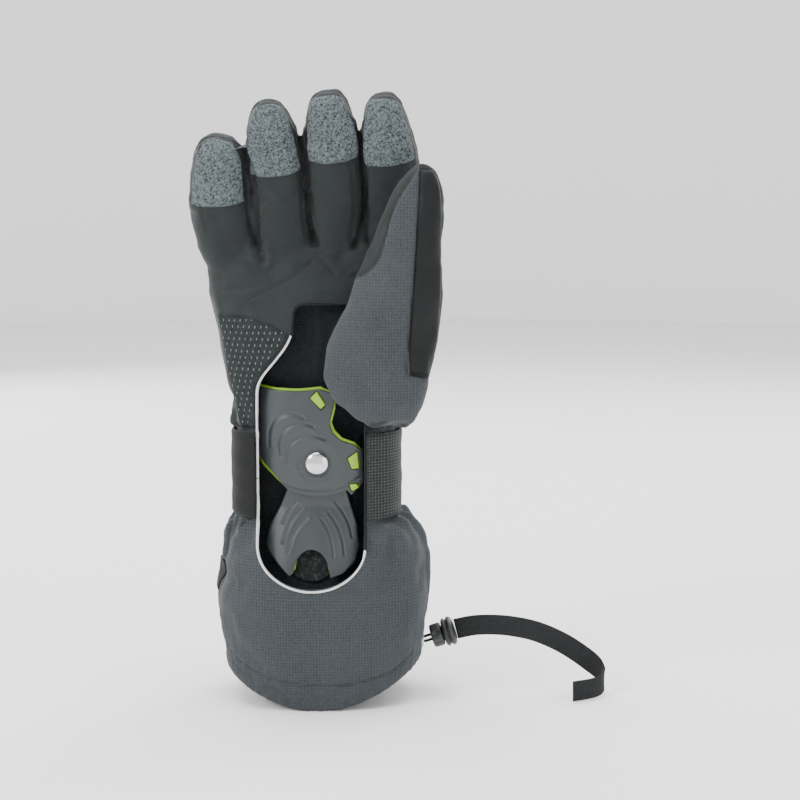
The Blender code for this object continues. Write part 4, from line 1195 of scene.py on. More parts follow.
class Surface:
    """Puts points on the glove."""

    def __init__(self, obj):
        self.tree = tree_of(obj)

    def meet(self, start, direction, otherwise):
        """Where a ray meets the glove, and the normal there; if it misses, the nearest place to otherwise."""
        found = self.tree.ray_cast(Vector(start), Vector(direction))
        if found[0] is None:
            found = self.tree.find_nearest(Vector(otherwise))
        return np.array(found[0]), np.array(found[1])

    def hit(self, x, z, side=-1):
        return self.meet((x, 110.0 * side, z), (0, -side, 0), (x, 30.0 * side, z))

    def run(self, points, side=-1, step=1.0, curve=True, lift=0.0):
        """A line of (x, z) points laid on the surface: places and normals."""
        flat = spline(points, step) if curve else resample(points, step)
        found = [self.hit(x, z, side) for x, z in flat]
        place = np.array([f[0] for f in found])
        normal = np.array([f[1] for f in found])
        for _ in range(2):
            normal[1:-1] = (normal[:-2] + normal[1:-1] * 2 + normal[2:]) / 4
        normal /= np.linalg.norm(normal, axis=1)[:, None]
        return place + normal * lift, normal

    def outward(self, origin, direction, reach=60.0):
        """Where a ray from outside towards origin meets the glove."""
        direction = np.asarray(direction, float) / np.linalg.norm(direction)
        start = np.asarray(origin, float) + direction * reach
        return self.meet(start, -direction, origin)


# Seams, as (x, z) lines on the palm side (-1) or the back (1): points, side, depth, width
SEAMS = {
    "cuff_left": ([(-46.0, 120), (-48.5, 112), (-50.5, 104), (-52.4, 93), (-53.6, 80)], -1, 0.9, 1.2),
    "palm_patch_top": ([(-59.0, 225.5), (-48, 224.5), (-35, 221.5), (-24, 218), (-16.5, 213.5)], -1, 0.5, 0.9),
    "palm_zigzag": ([(-37.5, 233.5), (-26, 239), (-14, 245.5), (-6, 251), (0.5, 257), (5, 253), (10, 248)], -1,
                    0.45, 1.0),
    "palm_cross": ([(-61.5, 236), (-50, 235.4), (-37.5, 234)], -1, 0.4, 0.8),
    "strap_top_left": ([(-47, 161), (-42, 158.5), (-34.5, 156.5)], -1, 0.6, 0.9),
    "thumb_left": ([(57.5, 308), (52, 300), (46.5, 291), (42, 281), (39.2, 270), (35.6, 258), (29, 250.2),
                    (20.5, 246)], -1, 0.7, 0.9),
    "thumb_right": ([(57.4, 305), (57.3, 292), (56.4, 270), (55.0, 250), (53.2, 230), (51.8, 212), (50.8, 196),
                     (54, 194.4), (61.5, 192.5)], -1, 0.7, 0.9),
    "hem_front": ([(-52.5, 33), (-48, 28.5), (-40, 24.5), (-25, 18.6), (-10, 16.2), (3, 15.2), (18, 16),
                   (30, 18.4), (41, 21.5), (48, 25.6), (54, 31)], -1, 0.5, 0.9),
    "hem_back": ([(-50, 30), (-42, 22.5), (-30, 17.5), (-10, 15.2), (12, 15.2), (30, 18), (44, 24.5), (53, 32)],
                 1, 0.5, 0.9),
    "back_cross": ([(29.5, 291), (32, 284), (24, 282), (10, 272), (-4, 262), (-16, 254.5), (-30, 245),
                    (-42, 230), (-52, 214)], 1, 0.5, 1.0),
    "back_index_top": ([(51, 287), (44, 289.5), (36, 290), (30, 289)], 1, 0.5, 0.9),
    "back_index": ([(38.5, 339), (36, 328), (33.5, 316), (32, 303)], 1, 0.5, 0.9),
    "back_long": ([(31, 284), (30.5, 262), (31.5, 240), (34, 222), (36.5, 206), (39, 192)], 1, 0.45, 0.9),
    "back_low": ([(36.5, 206), (28, 198), (18, 191.5), (9, 189)], 1, 0.4, 0.9),
    "back_little_side": ([(-47, 300), (-49.5, 286), (-49.5, 270), (-50, 256)], 1, 0.5, 0.9),
    "back_cuff_pocket": ([(55, 80), (44, 76.5), (30, 73.6), (14, 72.8), (2, 73.4), (-5, 78.5), (-8.6, 88),
                          (-9.5, 98), (-9.0, 107)], 1, 0.5, 0.9),
    "back_cuff_pocket_low": ([(54, 77), (44, 72.8), (30, 69.8), (14, 69.0), (2, 69.6), (-8, 75.5), (-12.2, 86),
                              (-13, 97), (-12.4, 107)], 1, 0.5, 0.9),
    "back_cuff_side": ([(46, 107), (50, 100), (53, 90), (54.6, 82)], 1, 0.6, 1.0),
    "finger_gap_1": ([(-38.5, 316), (-34.8, 303), (-33.4, 290), (-33.6, 276), (-33.2, 265), (-30.5, 255)], -1,
                     1.6, 1.8),
    "finger_gap_2": ([(-9.6, 325), (-7.4, 311), (-5.8, 297), (-4.6, 283), (-2.8, 271), (0.5, 263.5)], -1, 1.4,
                     1.6),
    "finger_gap_3": ([(22.8, 328), (26.2, 313), (27.6, 298), (27.0, 283), (25.0, 272), (22.0, 263)], -1, 1.6,
                     1.8),
    "finger_seam_1": ([(-63.2, 318), (-64.0, 300), (-63.8, 284), (-61.5, 272)], -1, 0.45, 0.8),
    "finger_seam_2": ([(-41.3, 312), (-40.3, 298), (-38.5, 284), (-38.3, 272)], -1, 0.4, 0.8),
    "finger_seam_3": ([(-11.0, 310), (-8.6, 296), (-7.6, 282), (-6.5, 270)], -1, 0.4, 0.8),
    "finger_seam_4": ([(-34.2, 308), (-31.0, 296), (-29.8, 282), (-29.0, 268)], -1, 0.4, 0.8),
    "finger_seam_5": ([(19.0, 312), (21.2, 296), (21.4, 282), (19.5, 268)], -1, 0.4, 0.8),
    "finger_seam_6": ([(-4.8, 316), (-3.4, 300), (-2.2, 286), (0.5, 274)], -1, 0.4, 0.8),
}
for first, second in (("little", "ring"), ("ring", "middle"), ("middle", "index")):
    one, two = FINGERS[first], FINGERS[second]
    gap = [(finger_centre(one, s)[0] + finger_centre(two, s)[0]) / 2 for s in (0.85, 0.6, 0.35, 0.16)]
    SEAMS["back_gap_" + first] = (list(zip(gap, (322 - 8 * (first == "little"), 304, 286, 270))), 1, 1.3, 1.6)


def glove_body():
    parts = [
        loft("trunk", TRUNK, POWER,
             [0, 3.5, 8, 14, 22, 31, 45, 60, 72, 83, 95, 104, 109, 118, 127, 140, 150, 158, 163, 170, 176,
                                     190, 204, 218, 232, 244, 252, 256, 262], lift=True),
        loft("thumb", THUMB, THUMB_POWER, THUMB[:, 0], count=64),
    ]
    parts += [finger_loft("finger", spec) for spec in FINGERS.values()]
    body = join("glove_body", parts)
    apply(body, "REMESH", mode="VOXEL", voxel_size=0.0024 if QUICK else 0.0015)
    apply(body, "SMOOTH", factor=0.5, iterations=3 if QUICK else 5)
    if not QUICK:
        drape(body)
        apply(body, "SMOOTH", factor=0.5, iterations=2)
    points = read(body)
    write(body, points + normals(body) * wrinkle(points)[:, None])
    return body


def press_seams(body):
    """Grooves along the seams, with a low ridge beside each; returns how deep in a groove each point is."""
    surface = Surface(body)
    places, depths, widths = [], [], []
    for points, side, depth, width in SEAMS.values():
        line, _ = surface.run(points, side, 0.6)
        places.append(line)
        depths += [1.35 * depth] * len(line)
        widths += [width] * len(line)
    places = np.concatenate(places)
    tree = kd_of(places)
    points, normal = read(body), normals(body)
    offset = np.zeros(len(points))
    groove = np.zeros(len(points))
    for i, p in enumerate(points):
        _, j, d = tree.find(p)
        if d < 7:
            w = widths[j]
            ridge = 0.35 * math.exp(-(((d - 2.6 * w) / (1.2 * w)) ** 2))
            offset[i] = depths[j] * (-math.exp(-((d / w) ** 2)) + ridge)
            # This weight later paints shade into the groove, through the skin's material.
            groove[i] = math.exp(-((d / (0.8 * w)) ** 2)) * min(1.0, depths[j])
    write(body, points + normal * offset[:, None])
    return groove


body = glove_body()
# The groove weights become the groove attribute, which paints shade into the seam grooves.
seam_groove_shade = press_seams(body)
attribute = body.data.attributes.new("groove", "FLOAT", "POINT")
attribute.data.foreach_set("value", seam_groove_shade.astype(np.float32))
GLOVE = Surface(body)
sill, head, corner, slant = window_outline()
outline = [(WINDOW[0], z) for z in np.linspace(170, 100, 15)] + sill
outline += [(WINDOW[1], z) for z in np.linspace(100, 225, 12)] + head + corner + slant
hollow = loft("hollow", CAVITY, POWER, CAVITY[:, 0])
points = read(hollow)
points[:, 2] = np.where(points[:, 2] < 0, -30, hem_lift(points[:, 0], points[:, 2]))
write(hollow, points)
cut(body, prism("opening", outline, -34.6, -15))
low_outline = [(x, min(z, 163.0)) for x, z in outline if z < 172]
cut(body, prism("opening_low", low_outline, -75, -30))
cut(body, hollow)
body.data.set_sharp_from_angle(angle=math.radians(48))
halves = []
for name, low, high in (("cuff_skin", -40, SPLIT), ("hand_skin", SPLIT, 400)):
    half = twin(body, name)
    block = add_mesh("block", [(x, y, z) for x in (-200, 200) for y in (-200, 200) for z in (low, high)],
                     [(0, 1, 3, 2), (4, 6, 7, 5), (0, 4, 5, 1), (2, 3, 7, 6), (0, 2, 6, 4), (1, 5, 7, 3)])
    cut(half, block, "INTERSECT")
    dress(half, SKIN)
    zones(half)
    halves.append(half)
bpy.data.objects.remove(body)
cuff_skin, hand_skin = halves
ride_piece(cuff_skin, "forearm", "heather_fabric", "gauntlet_shell")
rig.padded(cuff_skin, fill=0.5)


WRIST_LOW, WRIST_HIGH = (0, 0.006, 0.156), (0, 0.006, 0.200)


def hand_piece(obj, slot, *replaced):
    """A piece of the hand's side that bends with the cloth at the wrist."""
    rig.blend(obj, "forearm", "hand", start=WRIST_LOW, end=WRIST_HIGH)
    if replaced:
        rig.replaces(obj, *replaced)
    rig.slot(obj, slot)
    return obj


hand_piece(hand_skin, "palm_leather", "hand_shell", "finger_little", "finger_ring", "finger_middle",
           "finger_index", "thumb")
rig.padded(hand_skin, fill=0.6)


# Lining and edges ---------------------------------------------------------------------------------


def fleece():
    heights = np.concatenate([np.linspace(7, 104, 40), np.linspace(106, 240, 68)])
    rings = []
    for grow in (0.0, -2.2):
        side = []
        for z in heights:
            ring = ring_at(LINING, z, 2.4, 144)
            middle = section(LINING, z)[:2]
            out = ring[:, :2] - middle
            away = out / np.linalg.norm(out, axis=1)[:, None]
            p = np.column_stack([ring[:, :2], np.full(len(ring), z)])
            fold = 0.9 * noise(p * (1, 1, 0.45), 9.0) + 0.5 * noise(p + 60, 4.5) + 0.22 * noise(p + 20, 1.6)
            fold = fold * smooth((z - 10) / 20)
            flat = ring[:, :2] + away * (np.clip(fold, -2.0, 0.8) + grow)[:, None]
            side.append(np.column_stack([flat, hem_lift(flat[:, 0], np.full(len(flat), z))]))
        rings += side if grow == 0.0 else side[::-1]
    top = rings[len(heights) - 1]
    middle = top.mean(0)
    crown = [middle + (top - middle) * s + (0, 0, 3.5 * math.sqrt(1 - s * s)) for s in (0.9, 0.7, 0.4, 0.05)]
    rings = rings[: len(heights)] + crown + [r - (0, 0, 2.2) for r in crown[::-1]] + rings[len(heights):]
    obj = rings_mesh("fleece_lining", rings, FLEECE, closed=True)
    hand_piece(obj, "black_lining", "gauntlet_lining", "hand_lining")
    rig.padded(obj, fill=0.6)


def hem_roll():
    """The gathered, turned-up hem."""
    cx, cy, a, b = section(TRUNK, 7.0)
    t = np.linspace(0, 2 * math.pi, 360, endpoint=False)
    turns = np.linspace(0, 2 * math.pi, 20, endpoint=False)
    rings = []
    for i, angle in enumerate(t):
        x, y = superellipse(a - 2.6, b - 2.6, angle, POWER)
        out = np.array((x, y)) / math.hypot(x, y)
        gather = 0.28 * math.cos(angle * 62 + 2.2 * math.sin(angle * 5)) + 0.2 * math.sin(angle * 23 + 1.0)
        ring = []
        for u in turns:
            wide, tall = (2.9 + 0.6 * gather) * math.cos(u), (7.0 + 0.25 * gather) * math.sin(u)
            wide = math.copysign(abs(wide) ** 0.8 * 2.9**0.2, wide)
            px, py = cx + x + out[0] * wide, cy + y + out[1] * wide
            ring.append((px, py, float(hem_lift(np.array(px), np.array(7.25 + tall)))))
        rings.append(ring)
    obj = rings_mesh("hem_roll", rings, HEATHER, closed=True)
    points = read(obj)
    points[:, 2] -= points[:, 2].min()
    write(obj, points)
    ride_piece(obj, "forearm", "heather_fabric", "hem_binding")
    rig.padded(obj, fill=0.5)


def edge(name, line, look, width, height, body_name, slot, *replaced, sink=0.35):
    place, normal = GLOVE.run(line, -1, 1.0)
    rough = 1 + 0.05 * noise(place, 2.0)
    obj = tube(name, place - normal * sink, width * rough, height, look, up=normal, sides=10)
    if body_name == "hand":
        return hand_piece(obj, slot, *replaced)
    return ride_piece(obj, body_name, slot, *replaced)


def window_edges():
    off = 0.3
    west, east, low, arc_top = WINDOW
    left = [(west - off, z) for z in (131.5, 118, 105, 96)]
    right = [(east + off, z) for z in (92, 104, 118, 131.5)]
    middle, a, b = (west + east) / 2, (east - west) / 2 + off, arc_top - low + off
    turns = np.linspace(math.pi * 1.03, math.pi * 1.97, 21)
    round_sill = [(middle + a * math.cos(t), arc_top + b * math.sin(t)) for t in turns]
    edge("window_edge_front", left + round_sill, TRIM, 1.25, 2.2, "forearm", "window_edge", "window_edge_lower")
    edge("window_edge_right", right, BLACK_TRIM, 1.5, 2.4, "forearm", "black_lining")
    up_left = [(west - off, z) for z in (132.0, 145, 160, 176)]
    up_left += [(-33.1, 184.3), (-29.8, 190.8), (-22.5, 199.8), (-17.0, 207.2), (-13.8, 213.6)]
    edge("window_edge_top", up_left, TRIM, 1.25, 2.2, "hand", "window_edge", "window_edge_upper")
    dark = [(-13.7, 213.0), (-13.2, 221.0), (-12.4, 226.6), (-9.3, 230.2), (-3, 231.2), (5, 231.0),
            (9.0, 231.0)]
    edge("window_edge_dark", dark, BLACK_TRIM, 1.7, 2.6, "hand", "black_lining")
    edge("window_edge_side", [(27.7, 162), (27.7, 150), (27.7, 132)], BLACK_TRIM, 1.5, 2.4, "hand",
         "black_lining")


# Brace --------------------------------------------------------------------------------------------


def line_distance(points, line):
    """Distance from flat points to a polyline."""
    line = np.asarray(line, float)
    best = np.full(len(points), 1e9)
    for a, b in zip(line[:-1], line[1:]):
        t = np.clip(((points - a) @ (b - a)) / ((b - a) @ (b - a)), 0, 1)
        best = np.minimum(best, np.linalg.norm(points - a - t[:, None] * (b - a), axis=1))
    return best


def near_line(points, line, width):
    """1 on a line, fading out over width on both its sides."""
    return bump(line_distance(points, line), width)


def arc(centre, radii, start, end, count):
    run = np.radians(np.linspace(start, end, count))
    return [(centre[0] + radii[0] * math.cos(a), centre[1] + radii[1] * math.sin(a)) for a in run]


def plate(name, outline, holes, layer, look, relief=None, voxel=0.5, rounds=3):
    """A moulded plate: flat shape, rounded edges and relief on the palm side, bent round the wrist."""
    obj = prism(name, outline, layer[0], layer[1])
    for hole in holes:
        cut(obj, prism("hole", hole, layer[0] - 4, layer[1] + 4))
    apply(obj, "REMESH", mode="VOXEL", voxel_size=voxel * MM * (1.6 if QUICK else 1))
    apply(obj, "SMOOTH", factor=0.5, iterations=rounds)
    points = read(obj)
    x, y, z = points.T
    if relief:
        front = smooth((layer[1] - 0.4 - y) / (layer[1] - layer[0] - 0.5))
        y = y + front * relief(x, z)
    y = y + 0.02 * np.maximum(0, np.abs(x) - 13) ** 2 - 0.30 * np.maximum(0, -26 - z)
    write(obj, np.column_stack([x, y, z + PIVOT]))
    dress(obj, look)
    obj.data.shade_smooth()
    return obj


def hand_outline(grow=0.0):
    top = [(-34.0, 43.0 + grow), (-22.0, 41.4 + grow), (-10.0, 41.0 + grow), (-5.0, 41.4 + grow)]
    notch = [(10.6, 39.5), (9.2 + grow, 31.0), (7.2 + grow, 23.0), (8.7 + grow, 17.6 + grow)]
    lobe = [(13.5 + grow / 2, 13.0 + grow), (21.5, 10.2 + grow), (26.0, 6.6), (26.3, -11.5), (19.5, -18.6)]
    sole = arc((0.4, 28.0), (46.8, 46.8), 291, 249, 12)
    left = [(-30.4 - grow, -0.4 - grow), (-34.0, 4.0 - grow)]
    return top + [(2.0, 42.2 + grow)] + notch + lobe + sole + left


def forearm_outline(inset=0.0):
    head = arc((0, 0), (18.5 - inset, 18.5 - inset), -35, 215, 24)
    left = [(-21.5, -25.8), (-26.8, -35.5), (-29.4, -46.1), (-28.1, -50.8), (-22.4, -58.1), (-15.8, -64.4)]
    notch = arc((-3.3, -63.5), (10.2, 14.0), 175, 5, 17)
    right = [(7.6, -65.4), (14.6, -62.7), (21.5, -56.4), (23.8, -47.8), (22.5, -35.5), (18.3, -22.5)]
    return head + left + notch + right


LUGS = [
    [(-3.6, 37.2), (0.3, 41.0), (5.0, 33.6), (2.4, 31.0)],
    [(17.4, 2.7), (22.9, 6.6), (24.0, -3.0), (19.8, -3.4)],
    [(18.3, -12.2), (22.4, -11.8), (24.0, -14.0), (19.8, -16.2)],
]
CRESCENTS = [
    [(-27.6, 9.5), (-27.4, 17.0), (-25.4, 22.6), (-21.5, 26.3), (-16.5, 28.0), (-11.5, 27.6), (-7.0, 25.6)],
    [(-21.6, 5.0), (-22.0, 11.5), (-19.8, 17.2), (-15.8, 20.9), (-10.5, 22.5), (-5.0, 22.1), (-1.8, 20.9)],
    [(-17.2, 0.0), (-17.2, 6.0), (-14.8, 10.8), (-10.8, 14.0), (-5.5, 15.6), (0.0, 15.4), (4.6, 13.6)],
]
RIBS = [
    [(-12.0, -23.2), (-16.0, -28.0), (-20.2, -35.5)],
    [(-8.7, -26.4), (-14.2, -33.0), (-18.0, -40.0), (-20.3, -46.5)],
    [(-6.0, -32.4), (-11.0, -37.6), (-14.5, -43.5), (-16.6, -50.5)],
    [(10.0, -23.0), (14.6, -29.0), (18.0, -35.5), (19.8, -42.6)],
    [(6.6, -29.2), (11.0, -35.5), (14.2, -43.5), (15.6, -52.2)],
    [(2.3, -32.6), (5.8, -38.0), (8.2, -45.0), (9.4, -53.4)],
]


def hand_relief(x, z):
    flat = np.column_stack([x, z])
    out = np.zeros(len(x))
    for line in CRESCENTS:
        line = spline(line, 1.0)
        out += 0.62 * near_line(flat, line, 0.75)
        out -= 0.34 * near_line(flat, line * 0.93, 1.1)
        out -= 0.3 * near_line(flat, line * 0.84, 1.9)
    r = np.hypot(x, z)
    turn = np.arctan2(z, x)
    tick = bump(r - 9.9, 1.1) * np.clip(np.cos(turn * 26), 0, 1) ** 3
    low = (turn < math.radians(-55)) | (turn > math.radians(150))
    out += 0.32 * tick * low
    out -= 0.175 * bump(r - 12.5, 2.0)
    out += 0.45 * smooth((8.4 - r) / 1.2)
    out -= 0.6 * np.exp(-(((x + 4) / 20) ** 2) - ((z - 8) / 22) ** 2)
    sole = np.hypot(x - 0.4, z - 28.0)
    out += 0.55 * bump(sole - 43.5, 0.9) * (z < -8)
    return out


def forearm_relief(x, z):
    flat = np.column_stack([x, z])
    out = np.zeros(len(x))
    for line in RIBS:
        line = spline(line, 1.0)
        out += 0.68 * near_line(flat, line, 0.62)
        outward = np.sign(line[:, :1].mean())
        out -= 0.28 * near_line(flat, line - (outward * 1.6, 0), 1.0)
    out -= 1.15 * np.exp(-((x / 17) ** 2) - ((z + 40) / 22) ** 2)
    out -= 0.45 * bump(x - 0.3, 4.5) * smooth((-22 - z) / 12)
    return out


def brace():
    hole = arc((0, 0), (3.4, 3.4), 0, 345, 24)

    def grown(outline, by):
        middle = np.mean(outline, 0)
        return [tuple(p + (p - middle) / np.linalg.norm(p - middle) * by) for p in np.array(outline)]

    cover = plate(
        "hand_plate", hand_outline(), [hole] + [grown(lug, 0.4) for lug in LUGS], (-27.6, -25.6), PLATE,
        hand_relief, 0.42,
    )
    ride_piece(cover, "hand", "plate_rubber", "hand_plate_cover")
    core = plate("hand_plate_frame", hand_outline(1.3), [hole], (-25.3, -23.5), LIME)
    lugs = [plate("lug", lug, [], (-28.7, -24.2), LIME, None, 0.42, 4) for lug in LUGS]
    core = join("hand_plate_frame", [core] + lugs, LIME)
    ride_piece(core, "hand", "lime_plastic", "hand_plate_core")
    low = plate("forearm_plate", forearm_outline(), [hole], (-22.1, -20.3), PLATE, forearm_relief, 0.42)
    ride_piece(low, "forearm", "plate_rubber", "forearm_plate_cover")
    pad = plate("plate_pad_piece", arc((-3.3, -58.5), (12.5, 9.5), 0, 352, 40), [], (-17.95, -16.8), PAD)
    ride_piece(pad, "forearm", "black_lining", "forearm_pad")
    head = -27.9
    dome = [(6.65 * math.sin(a), 3.0 * (0.12 + 0.88 * math.cos(a))) for a in np.linspace(0.0, math.pi / 2, 22)]
    profile = dome + [(6.55, 0.05), (6.2, -0.1), (3.0, -0.1), (3.0, -11.6), (0.0, -11.7)]
    rivet = lathe("rivet", profile, (0, head, PIVOT), (0, -1, 0), STEEL, 72)
    ride_piece(rivet, "forearm", "rivet_steel", "pivot_rivet")


# Strap --------------------------------------------------------------------------------------------


def strap_ring(angle, grow):
    cx, cy, a, b = STRAP
    x, y = superellipse(a, b, angle, POWER)
    n = np.array((np.sign(x) * abs(x / a) ** (POWER - 1) / a, np.sign(y) * abs(y / b) ** (POWER - 1) / b))
    n /= np.linalg.norm(n)
    return np.array((cx + x, cy + y)) + n * grow, n


def strap_angle(x, side):
    """The angle at which the strap's ring reaches x, on the palm side (-1) or the back (1)."""
    low, high = (0.0, math.pi) if side > 0 else (-math.pi, 0.0)
    for _ in range(50):
        middle = (low + high) / 2
        value = superellipse(STRAP[2], STRAP[3], middle, POWER)[0] + STRAP[0]
        if (value > x) == (side > 0):
            low = middle
        else:
            high = middle
    return middle


def back_edge(x, z_from, run, shift):
    """A slanting edge on the back, as an angle for each height: at x at z_from, moved by shift over run."""
    return lambda z: strap_angle(x - (z - z_from) / run * shift, 1)


def weave_wave(angle, z):
    return 0.16 * math.sin(z * 0.21 + angle * 3) + 0.12 * math.sin(z * 0.5 + angle * 9)


def band(name, look, low, high, start, end, grow, thick, lift=None, count=90, rows=28, shape=None):
    """A strap piece between two angles; start and end may change with height, and lift with the angle."""

    def angles(z):
        s, e = (at(z) if callable(at) else at for at in (start, end))
        return np.linspace(s, e, count)

    def ends(z, angle):
        rise = grow + (lift(angle) if lift else 0.0)
        soft = 1 - 0.8 * max(0, 1 - min(z - low, high - z) / 0.7) ** 2
        extra = shape(angle, z) if shape else 0.0
        outer, _ = strap_ring(angle, rise + thick * soft + extra)
        inner, _ = strap_ring(angle, rise)
        return (*outer, z), (*inner, z)

    return sheet(name, np.linspace(low, high, rows), angles, ends, look)


FLAP_RISE, FLAP_THICK, FLAP_LIFT = 0.35, 1.45, 2.9  # the flap lies on the elastic past its sewn end


def flap_lift(angle):
    (x, _), _ = strap_ring(angle, 0)
    return FLAP_LIFT * float(smooth((x + 38) / 20))


def pull_tab():
    """A moulded tab with a ridge, dimples and a slot, wrapped onto the flap's end."""
    outline = [(-1.0, 111.6), (8, 111.4), (17, 112.6), (23.5, 115.6), (27.6, 120.0), (28.7, 124.4),
               (27.2, 130.0),
               (23.6, 138.0), (20.0, 146.0), (16.6, 154.0), (13.6, 160.0), (10.6, 162.6), (-1, 163.2),
               (-14.2, 162.0), (-12.2, 152), (-8.0, 136), (-4.2, 121)]
    obj = prism("tab", spline(outline + outline[:1], 1.2)[:-1], 0.0, 2.5)
    slot = [(-5.4, 158.2), (-2.0, 159.0), (1.6, 158.2), (1.9, 152), (0.8, 144), (0.0, 139.6), (-1.2, 143),
            (-3.4, 150)]
    cut(obj, prism("slot", spline(slot + slot[:1], 1.0)[:-1], 1.3, 6.0))
    apply(obj, "REMESH", mode="VOXEL", voxel_size=(0.75 if QUICK else 0.42) * MM)
    apply(obj, "SMOOTH", factor=0.5, iterations=3)
    points = read(obj)
    x, y, z = points.T
    flat = np.column_stack([x, z])
    top = smooth((y - 0.9) / 1.2)
    ridge = spline([(13.0, 160), (12.2, 150), (10.4, 138), (9.6, 125), (9.2, 112)], 1.0)
    y = y + top * (0.75 * near_line(flat, ridge, 1.3))
    y = y - top * 0.55 * smooth((x - np.interp(z, [112, 125, 138, 150, 160],
        [9.4, 9.8, 10.6, 12.4, 13.2]) - 1.0) / 8)
    dimples = [(21.5, 128), (21.5, 122), (16.5, 131), (16.5, 124.5), (16.5, 118), (13, 130.5), (12.8, 124),
               (12.5, 117.5), (14.3, 143.5), (14.2, 137.5)]
    for dx, dz in dimples:
        r = np.hypot(x - dx, z - dz)
        y = y + top * (0.3 * bump(r - 1.15, 0.4) - 0.55 * bump(r, 0.75))
    for groove in ([(5.6, 113), (6.6, 160)], [(-12.4, 159), (-3.2, 122), (-0.6, 113)]):
        y = y - top * 0.3 * near_line(flat, groove, 0.5)
    base = FLAP_RISE + FLAP_THICK + FLAP_LIFT + 0.25
    placed = np.empty_like(points)
    angles = {}
    for i in range(len(points)):
        key = round(float(x[i]), 1)
        if key not in angles:
            angles[key] = strap_ring(strap_angle(key, 1), 0)
        (px, py), n = angles[key]
        px += x[i] - key
        placed[i] = (px + n[0] * (base + y[i]), py + n[1] * (base + y[i]), z[i])
    write(obj, placed)
    dress(obj, TAB)
    ride_piece(obj, "strap_flap", "tab_rubber", "strap_tab")


def strap_pieces():
    front_right = strap_angle(WINDOW[1] + 0.8, -1)
    front_left = strap_angle(WINDOW[0] - 0.8, -1) + 2 * math.pi
    back_end = strap_angle(-12.0, 1)
    anchor_start = strap_angle(-46.4, 1)
    obj = band("strap_mesh", ELASTIC, 108.6, 157.6, front_right, back_end, 0.3, 1.4, shape=weave_wave,
               count=150, rows=34)
    ride_piece(obj, "forearm", "strap_webbing", "strap_elastic")
    obj = band("strap_side", WEB, 109.4, 158.4, anchor_start, front_left, 0.3, 1.4, shape=weave_wave, count=60)
    ride_piece(obj, "forearm", "strap_webbing", "strap_anchor")
    obj = band("strap_front", WEB, 109.2, 158.8, back_edge(24.0, 109, 49, 7), strap_angle(-45.4, 1),
               FLAP_RISE, FLAP_THICK, lift=flap_lift, shape=weave_wave)
    ride_piece(obj, "strap_flap", "strap_webbing", "strap_flap")
    pull_tab()
    obj = band("hook_strip", DARK_LABEL, 115, 152, back_edge(21.5, 115, 37, 7.5), strap_angle(-9.0, 1), 2.15,
               0.7)
    ride_piece(obj, "strap_flap", "black_lining", "hook_patch")
    obj = band("woven_tag", DARK_LABEL, 115, 158, back_edge(-5.6, 115, 43, 8.8),
               back_edge(-16.0, 115, 43, 10.2),
               1.85, 0.75, lift=flap_lift, count=30)
    ride_piece(obj, "strap_flap", "woven_label", "strap_label")
    obj = band("stripe", LABEL, 117.5, 155.5, back_edge(-11.6, 115, 43, 9.6), back_edge(-15.2, 115, 43, 10.0),
               2.55, 0.25, lift=flap_lift, count=12)
    ride_piece(obj, "strap_flap", "reflective_print")


# Patches ------------------------------------------------------------------------------------------


def patch(name, look, rows, side, thick, sink=0.5, across=30, tall=60, shape=None):
    """A sewn patch laid on the glove between a left and a right edge: rows are (z, left x, right x)."""
    rows = np.array(rows, float)
    outer, inner = [], []
    zs = np.linspace(rows[0, 0], rows[-1, 0], tall)
    for z in zs:
        left, right = np.interp(z, rows[:, 0], rows[:, 1]), np.interp(z, rows[:, 0], rows[:, 2])
        outer_row, inner_row = [], []
        for x in np.linspace(left, right, across):
            p, n = GLOVE.hit(x, z, side)
            soft = min(x - left, right - x, z - zs[0], zs[-1] - z)
            rise = thick * (1 - 0.7 * max(0.0, 1 - soft / 0.9) ** 2) + (shape(x, z) if shape else 0.0)
            outer_row.append(p + n * rise)
            inner_row.append(p - n * sink)
        outer.append(outer_row)
        inner.append(inner_row)
    outer, inner = np.array(outer), np.array(inner)
    if len(outer) > 4:
        middle = outer[1:-1, 1:-1]
        outer[1:-1, 1:-1] = middle * 0.5 + (outer[:-2, 1:-1] + outer[2:, 1:-1] + outer[1:-1, :-2] + outer[1:-1,
            2:]) / 8
    return slab(name, outer, inner, look)


TIP_LOW = {"little": 0.55, "ring": 0.62, "middle": 0.66, "index": 0.65}


